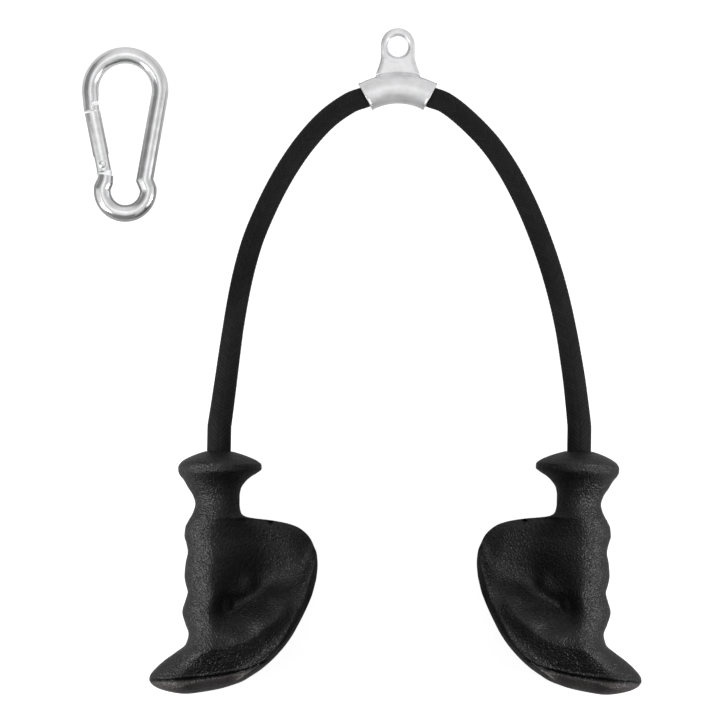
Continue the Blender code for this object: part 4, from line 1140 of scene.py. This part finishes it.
def make_hanger():
    """The casting: curved sleeve with a lip at each mouth, and the lug with its eye."""
    sleeve = spun_bend("cast_hanger", SLEEVE_RADIUS - BODY_INSET, BEND_HALF_ANGLE - LIP_LAP, 72)
    for turn in (-1, 1):
        lip = spun_bend("mouth_lip", SLEEVE_RADIUS, LIP_HALF_ANGLE, 8)
        lip.rotation_euler.z = -turn * (BEND_HALF_ANGLE - LIP_HALF_ANGLE)
        lip.location = HANGER - Matrix.Rotation(lip.rotation_euler.z, 3, "Z") @ HANGER
        settle(lip)
        cut(sleeve, lip, "UNION")
    cut(sleeve, lug_plate(), "UNION")
    bore = spun_bend("sleeve_bore", SLEEVE_BORE, BEND_HALF_ANGLE + BORE_PAST_ANGLE, 72)
    cut(sleeve, bore)
    eye = HANGER + Vector((0, EYE_HEIGHT, 0))
    cut(sleeve, new_piece(
        "eye", bpy.ops.mesh.primitive_cylinder_add,
        vertices=96, radius=EYE_RADIUS, depth=0.02, location=eye,
    ))
    for way in (-1, 1):
        cut(sleeve, new_piece(
            "countersink", bpy.ops.mesh.primitive_cone_add, vertices=96, depth=COUNTERSINK_DEPTH,
            radius1=COUNTERSINK_RADII[0], radius2=COUNTERSINK_RADII[1],
            location=eye + Vector((0, 0, way * COUNTERSINK_PLACE)),
            rotation=(0 if way > 0 else pi, 0, 0),
        ))
    pick(sleeve)
    set_up(sleeve.modifiers.new("even_skin", "REMESH"), mode="VOXEL", voxel_size=SKIN_VOXEL)
    set_up(sleeve.modifiers.new("fillets", "SMOOTH"), factor=0.5, iterations=4)
    apply_modifiers(sleeve)
    places = points_of(sleeve)
    local = places - np.array(HANGER)
    reach = np.hypot(local[:, 0], local[:, 1])
    face = np.sign(local[:, 2]) * (np.abs(local[:, 2]) > LUG_FACE_FROM)
    on_lug = ramp(reach - CROWN, *LUG_FOOT_FADE)
    # pillowed edge, broader at the sides than at the eye
    inside = lug_half_width(local[:, 1]) - np.abs(local[:, 0])
    tip = LUG_RADIUS - np.hypot(local[:, 0], local[:, 1] - CROWN - LUG_RISE)
    inside = np.where(local[:, 1] > CROWN + LUG_RISE, tip, inside)
    pillow = PILLOW_DROP * np.clip(1 - inside / PILLOW_WIDTH, 0, 1) ** 2
    # undercut line where the lug stands on the sleeve, and a shallow dent left of the eye's foot
    off = reach - CROWN + FOOT_GROOVE_DROP
    groove = FOOT_GROOVE_DEPTH * np.exp(-((off / FOOT_GROOVE_WIDTH) ** 2))
    over_eye = local[:, 1] - EYE_HEIGHT
    around = np.hypot(local[:, 0] + DENT_LEFT, over_eye + DENT_DOWN)
    lower_left = ramp(-local[:, 0] - DENT_SLOPE * (over_eye + DENT_SLOPE_DOWN), 0, DENT_FADE)
    dent = DENT_DEPTH * np.exp(-(((around - DENT_RADIUS) / DENT_WIDTH) ** 2))
    dent = dent * lower_left * (over_eye < 0)
    places[:, 2] -= face * on_lug * (pillow + groove + dent)
    move_points(sleeve, places)
    pick(sleeve)
    bpy.ops.object.shade_smooth()
    finish_piece(sleeve, CASTING)
    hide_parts("hanger_casting")
    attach(sleeve, "hanger")


make_hanger()


# ==== snap hook ====


WIRE_RADIUS = 0.0048
HOOK = Vector((-0.1373, 0.0985, WIRE_RADIUS))
HOOK_EYE_RADIUS = 0.0132
HOOK_BOW_RADIUS = 0.0200
HOOK_BOW = (0, 0.0574)
NECK_PLACE = (0.0111, 0.0059)
STUB_FOOT = (-0.0116, 0.0050)
STUB_TOP = (-0.0110, 0.0089)
STUB_RADIUS = 0.0042
NOSE_TIP = (-0.0190, 0.0455)
NOSE_RADIUS = 0.0046
GATE_PIVOT = (-0.0128, 0.0150)
GATE_LEAN = radians(11.3)
GATE_LENGTH = 0.0305
GATE_TAIL = 0.0038
GATE_RADIUS = 0.0045
GATE_BORE = 0.0033
GATE_BORE_DEPTH = 0.0166
TONGUE_HALF = 0.0018
TONGUE_HALF_WIDTH = 0.0026
TONGUE_REACH = 0.0035
FORK_REACH = hypot(TONGUE_HALF_WIDTH, TONGUE_REACH) + 0.0004
RIVET_RADIUS = 0.0016
RIVET_HEAD_RADIUS = 0.0022
LATCH_HALF = 0.0015
LATCH_LOW = -0.0003
LATCH_WIDTH = 0.0044
LATCH_LENGTH = 0.0078
LATCH_PIN_RADIUS = 0.0007
LATCH_PIN = (0.0014, GATE_LENGTH + 0.0047)
LATCH_ROOT = 0.004
FLATTENED_LAP = 0.0035
FLATTENED_STOP = 0.0020
FORK_FLAT = 0.00035
FORK_FLAT_LAP = 0.0006
RIVET_SEAT = 0.0005
EDGE_BREAK = 0.00030
FAR = WIRE_RADIUS + 0.004
GATE_SPACE = Matrix.Translation(HOOK + Vector((*GATE_PIVOT, 0))) @ Matrix.Rotation(GATE_LEAN, 4, "Z")


def arc(centre, radius, start, end, steps):
    turn = start + (end - start) * np.arange(steps + 1) / steps
    return [(centre[0] + radius * cos(a), centre[1] + radius * sin(a)) for a in turn]


def touching_angle(point, centre, radius, side):
    x, y = point[0] - centre[0], point[1] - centre[1]
    return atan2(y, x) + side * acos(radius / hypot(x, y))


def straight(a, b, steps):
    """Points from a towards b, without b."""
    return [(a[0] + (b[0] - a[0]) * k / steps, a[1] + (b[1] - a[1]) * k / steps) for k in range(steps)]


def wire_rings(points, radii, sides=60):
    """Round sections along a flat path, mitred where the wire is bent sharply."""
    points = np.array(points)
    ways = np.diff(points, axis=0)
    ways /= np.linalg.norm(ways, axis=1)[:, None]
    ways = np.concatenate([ways[:1], ways, ways[-1:]])
    middle = ways[:-1] + ways[1:]
    middle /= np.linalg.norm(middle, axis=1)[:, None]
    stretch = 1 / np.maximum((middle * ways[1:]).sum(1), 0.5)
    across = np.stack([middle[:, 1], -middle[:, 0]], 1) * stretch[:, None]
    turn = 2 * pi * np.arange(sides) / sides
    radii = np.asarray(radii)[:, None]
    x = points[:, :1] + radii * np.sin(turn) * across[:, :1]
    y = points[:, 1:] + radii * np.sin(turn) * across[:, 1:]
    return np.stack([x, y, radii * np.cos(turn)], -1) + np.array(HOOK)


def gate_block(name, low, high):
    """A box given in the gate's own axes."""
    block = new_piece(name, bpy.ops.mesh.primitive_cube_add, size=1)
    low, high = Vector(low), Vector(high)
    inner = Matrix.Translation((low + high) / 2) @ Matrix.Diagonal((*(high - low), 1))
    block.matrix_world = GATE_SPACE @ inner
    settle(block)
    return block


def gate_rod(name, radius, low, high, place=(0, 0), along_y=False, sides=56):
    """A round rod across the gate, or along it."""
    add = bpy.ops.mesh.primitive_cylinder_add
    rod = new_piece(name, add, vertices=sides, radius=radius, depth=high - low)
    middle = (low + high) / 2
    if along_y:
        inner = Matrix.Translation((0, middle, 0)) @ Matrix.Rotation(-pi / 2, 4, "X")
    else:
        inner = Matrix.Translation((*place, middle))
    rod.matrix_world = GATE_SPACE @ inner
    settle(rod)
    return rod


def break_edges(piece):
    """Small rounds on all sharp edges."""
    set_up(
        piece.modifiers.new("edge_break", "BEVEL"), width=EDGE_BREAK, segments=2,
        limit_method="ANGLE", angle_limit=radians(42), use_clamp_overlap=True,
    )
    apply_modifiers(piece)
    soften(piece, 24)


def make_hook_frame():
    """The bent wire, from its nose over the bow, down the long leg and round the small eye."""
    start = touching_angle(NOSE_TIP, HOOK_BOW, HOOK_BOW_RADIUS, -1) + 2 * pi
    end = touching_angle(NECK_PLACE, HOOK_BOW, HOOK_BOW_RADIUS, 1)
    bow = arc(HOOK_BOW, HOOK_BOW_RADIUS, start, end, 84)
    eye = arc((0, 0), HOOK_EYE_RADIUS, radians(4), radians(-187), 72)
    points = straight(NOSE_TIP, bow[0], 10) + bow + straight(bow[-1], NECK_PLACE, 30)[1:]
    points += straight(NECK_PLACE, eye[0], 6) + eye + straight(eye[-1], STUB_FOOT, 2)[1:]
    points += straight(STUB_FOOT, STUB_TOP, 4) + [STUB_TOP]
    radii = np.full(len(points), WIRE_RADIUS)
    radii[:12] = np.linspace(NOSE_RADIUS, WIRE_RADIUS, 12)
    radii[-6:] = np.linspace(WIRE_RADIUS, STUB_RADIUS, 6)
    hook = rolled_sheet("hook_frame", wire_rings(points, radii))
    foot = hypot(STUB_TOP[0] - GATE_PIVOT[0], STUB_TOP[1] - GATE_PIVOT[1]) + STUB_RADIUS / 2
    thick = TONGUE_HALF
    tongue_low = (-TONGUE_HALF_WIDTH, -foot, -thick)
    tongue_high = (TONGUE_HALF_WIDTH, TONGUE_REACH, thick)
    cut(hook, gate_block("tongue", tongue_low, tongue_high), "UNION")
    # the flattened wire is widest between the stub and the gate
    wide = gate_rod("flattened_end", GATE_RADIUS - 0.0002, -thick, thick, (0, FLATTENED_LAP - foot))
    keep_out = gate_block("keep_out", (-FAR, -FLATTENED_STOP, -FAR), (FAR, FAR, FAR))
    cut(wide, keep_out)
    cut(hook, wide, "UNION")
    cut(hook, gate_rod("rivet_hole", RIVET_RADIUS + GAP, -FAR, FAR))
    cut(hook, gate_block("nose_cut", (-FAR, GATE_LENGTH - FAR, -FAR), (FAR, GATE_LENGTH + GAP, FAR)))
    slot_low = (LATCH_LOW - GAP, GATE_LENGTH - LATCH_ROOT, -LATCH_HALF - GAP)
    slot_high = (FAR, GATE_LENGTH + LATCH_LENGTH + 0.0004, LATCH_HALF + GAP)
    cut(hook, gate_block("latch_slot", slot_low, slot_high))
    room = LATCH_PIN_RADIUS + GAP
    notch_low = (LATCH_PIN[0] - room, LATCH_PIN[1] - room - GAP, -FAR)
    cut(hook, gate_block("latch_notch", notch_low, (FAR, LATCH_PIN[1] + room, FAR)))
    break_edges(hook)
    finish_piece(hook, PLATING)
    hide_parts("snap_hook_frame")
    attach(hook, "snap_hook")


def make_hook_gate():
    """The tubular gate with its forked foot, latch tongue and seats for the rivet's heads."""
    gate = gate_rod("hook_gate", GATE_RADIUS, -GATE_TAIL, GATE_LENGTH, along_y=True, sides=64)
    latch = gate_block(
        "latch", (LATCH_LOW, GATE_LENGTH - LATCH_ROOT, -LATCH_HALF),
        (LATCH_LOW + LATCH_WIDTH, GATE_LENGTH + LATCH_LENGTH, LATCH_HALF),
    )
    cut(gate, latch, "UNION")
    foot = -GATE_TAIL - OVERCUT
    cut(gate, gate_rod("gate_bore", GATE_BORE, foot, GATE_BORE_DEPTH, along_y=True, sides=48))
    slot = TONGUE_HALF + GAP
    cut(gate, gate_block("fork", (-FAR, foot, -slot), (FAR, FORK_REACH, slot)))
    for way in (-1, 1):
        low, high = sorted((way * (GATE_RADIUS - FORK_FLAT), way * FAR))
        top = FORK_REACH + FORK_FLAT_LAP
        cut(gate, gate_block("fork_flat", (low, -FAR, -FAR), (high, top, FAR)))
    cut(gate, gate_rod("rivet_hole", RIVET_RADIUS + GAP, -FAR, FAR))
    seat = GATE_RADIUS - RIVET_SEAT
    cut(gate, gate_rod("near_seat", RIVET_HEAD_RADIUS + GAP, seat - GAP, FAR))
    cut(gate, gate_rod("far_seat", RIVET_HEAD_RADIUS + GAP, -FAR, GAP - seat))
    cut(gate, gate_rod("pin_hole", LATCH_PIN_RADIUS + GAP, -FAR, FAR, LATCH_PIN, sides=24))
    break_edges(gate)
    finish_piece(gate, PLATING)
    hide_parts("snap_hook_gate")
    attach(gate, "gate")


make_hook_frame()
make_hook_gate()


# ==== carried-over nodes ====

KEPT = {
    "liner_left": NYLON, "liner_right": NYLON, "end_plug_left": NYLON, "end_plug_right": NYLON,
    "washer_left": ZINC, "washer_right": ZINC, "ferrule_left": ZINC, "ferrule_right": ZINC,
    "gate_rivet": PLATING, "latch_pin": PLATING,
    "gate_plunger": PLATING, "gate_spring": ZINC,
}
for name, material in KEPT.items():
    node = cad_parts[name]
    node.data.materials.clear()
    node.data.materials.append(material)
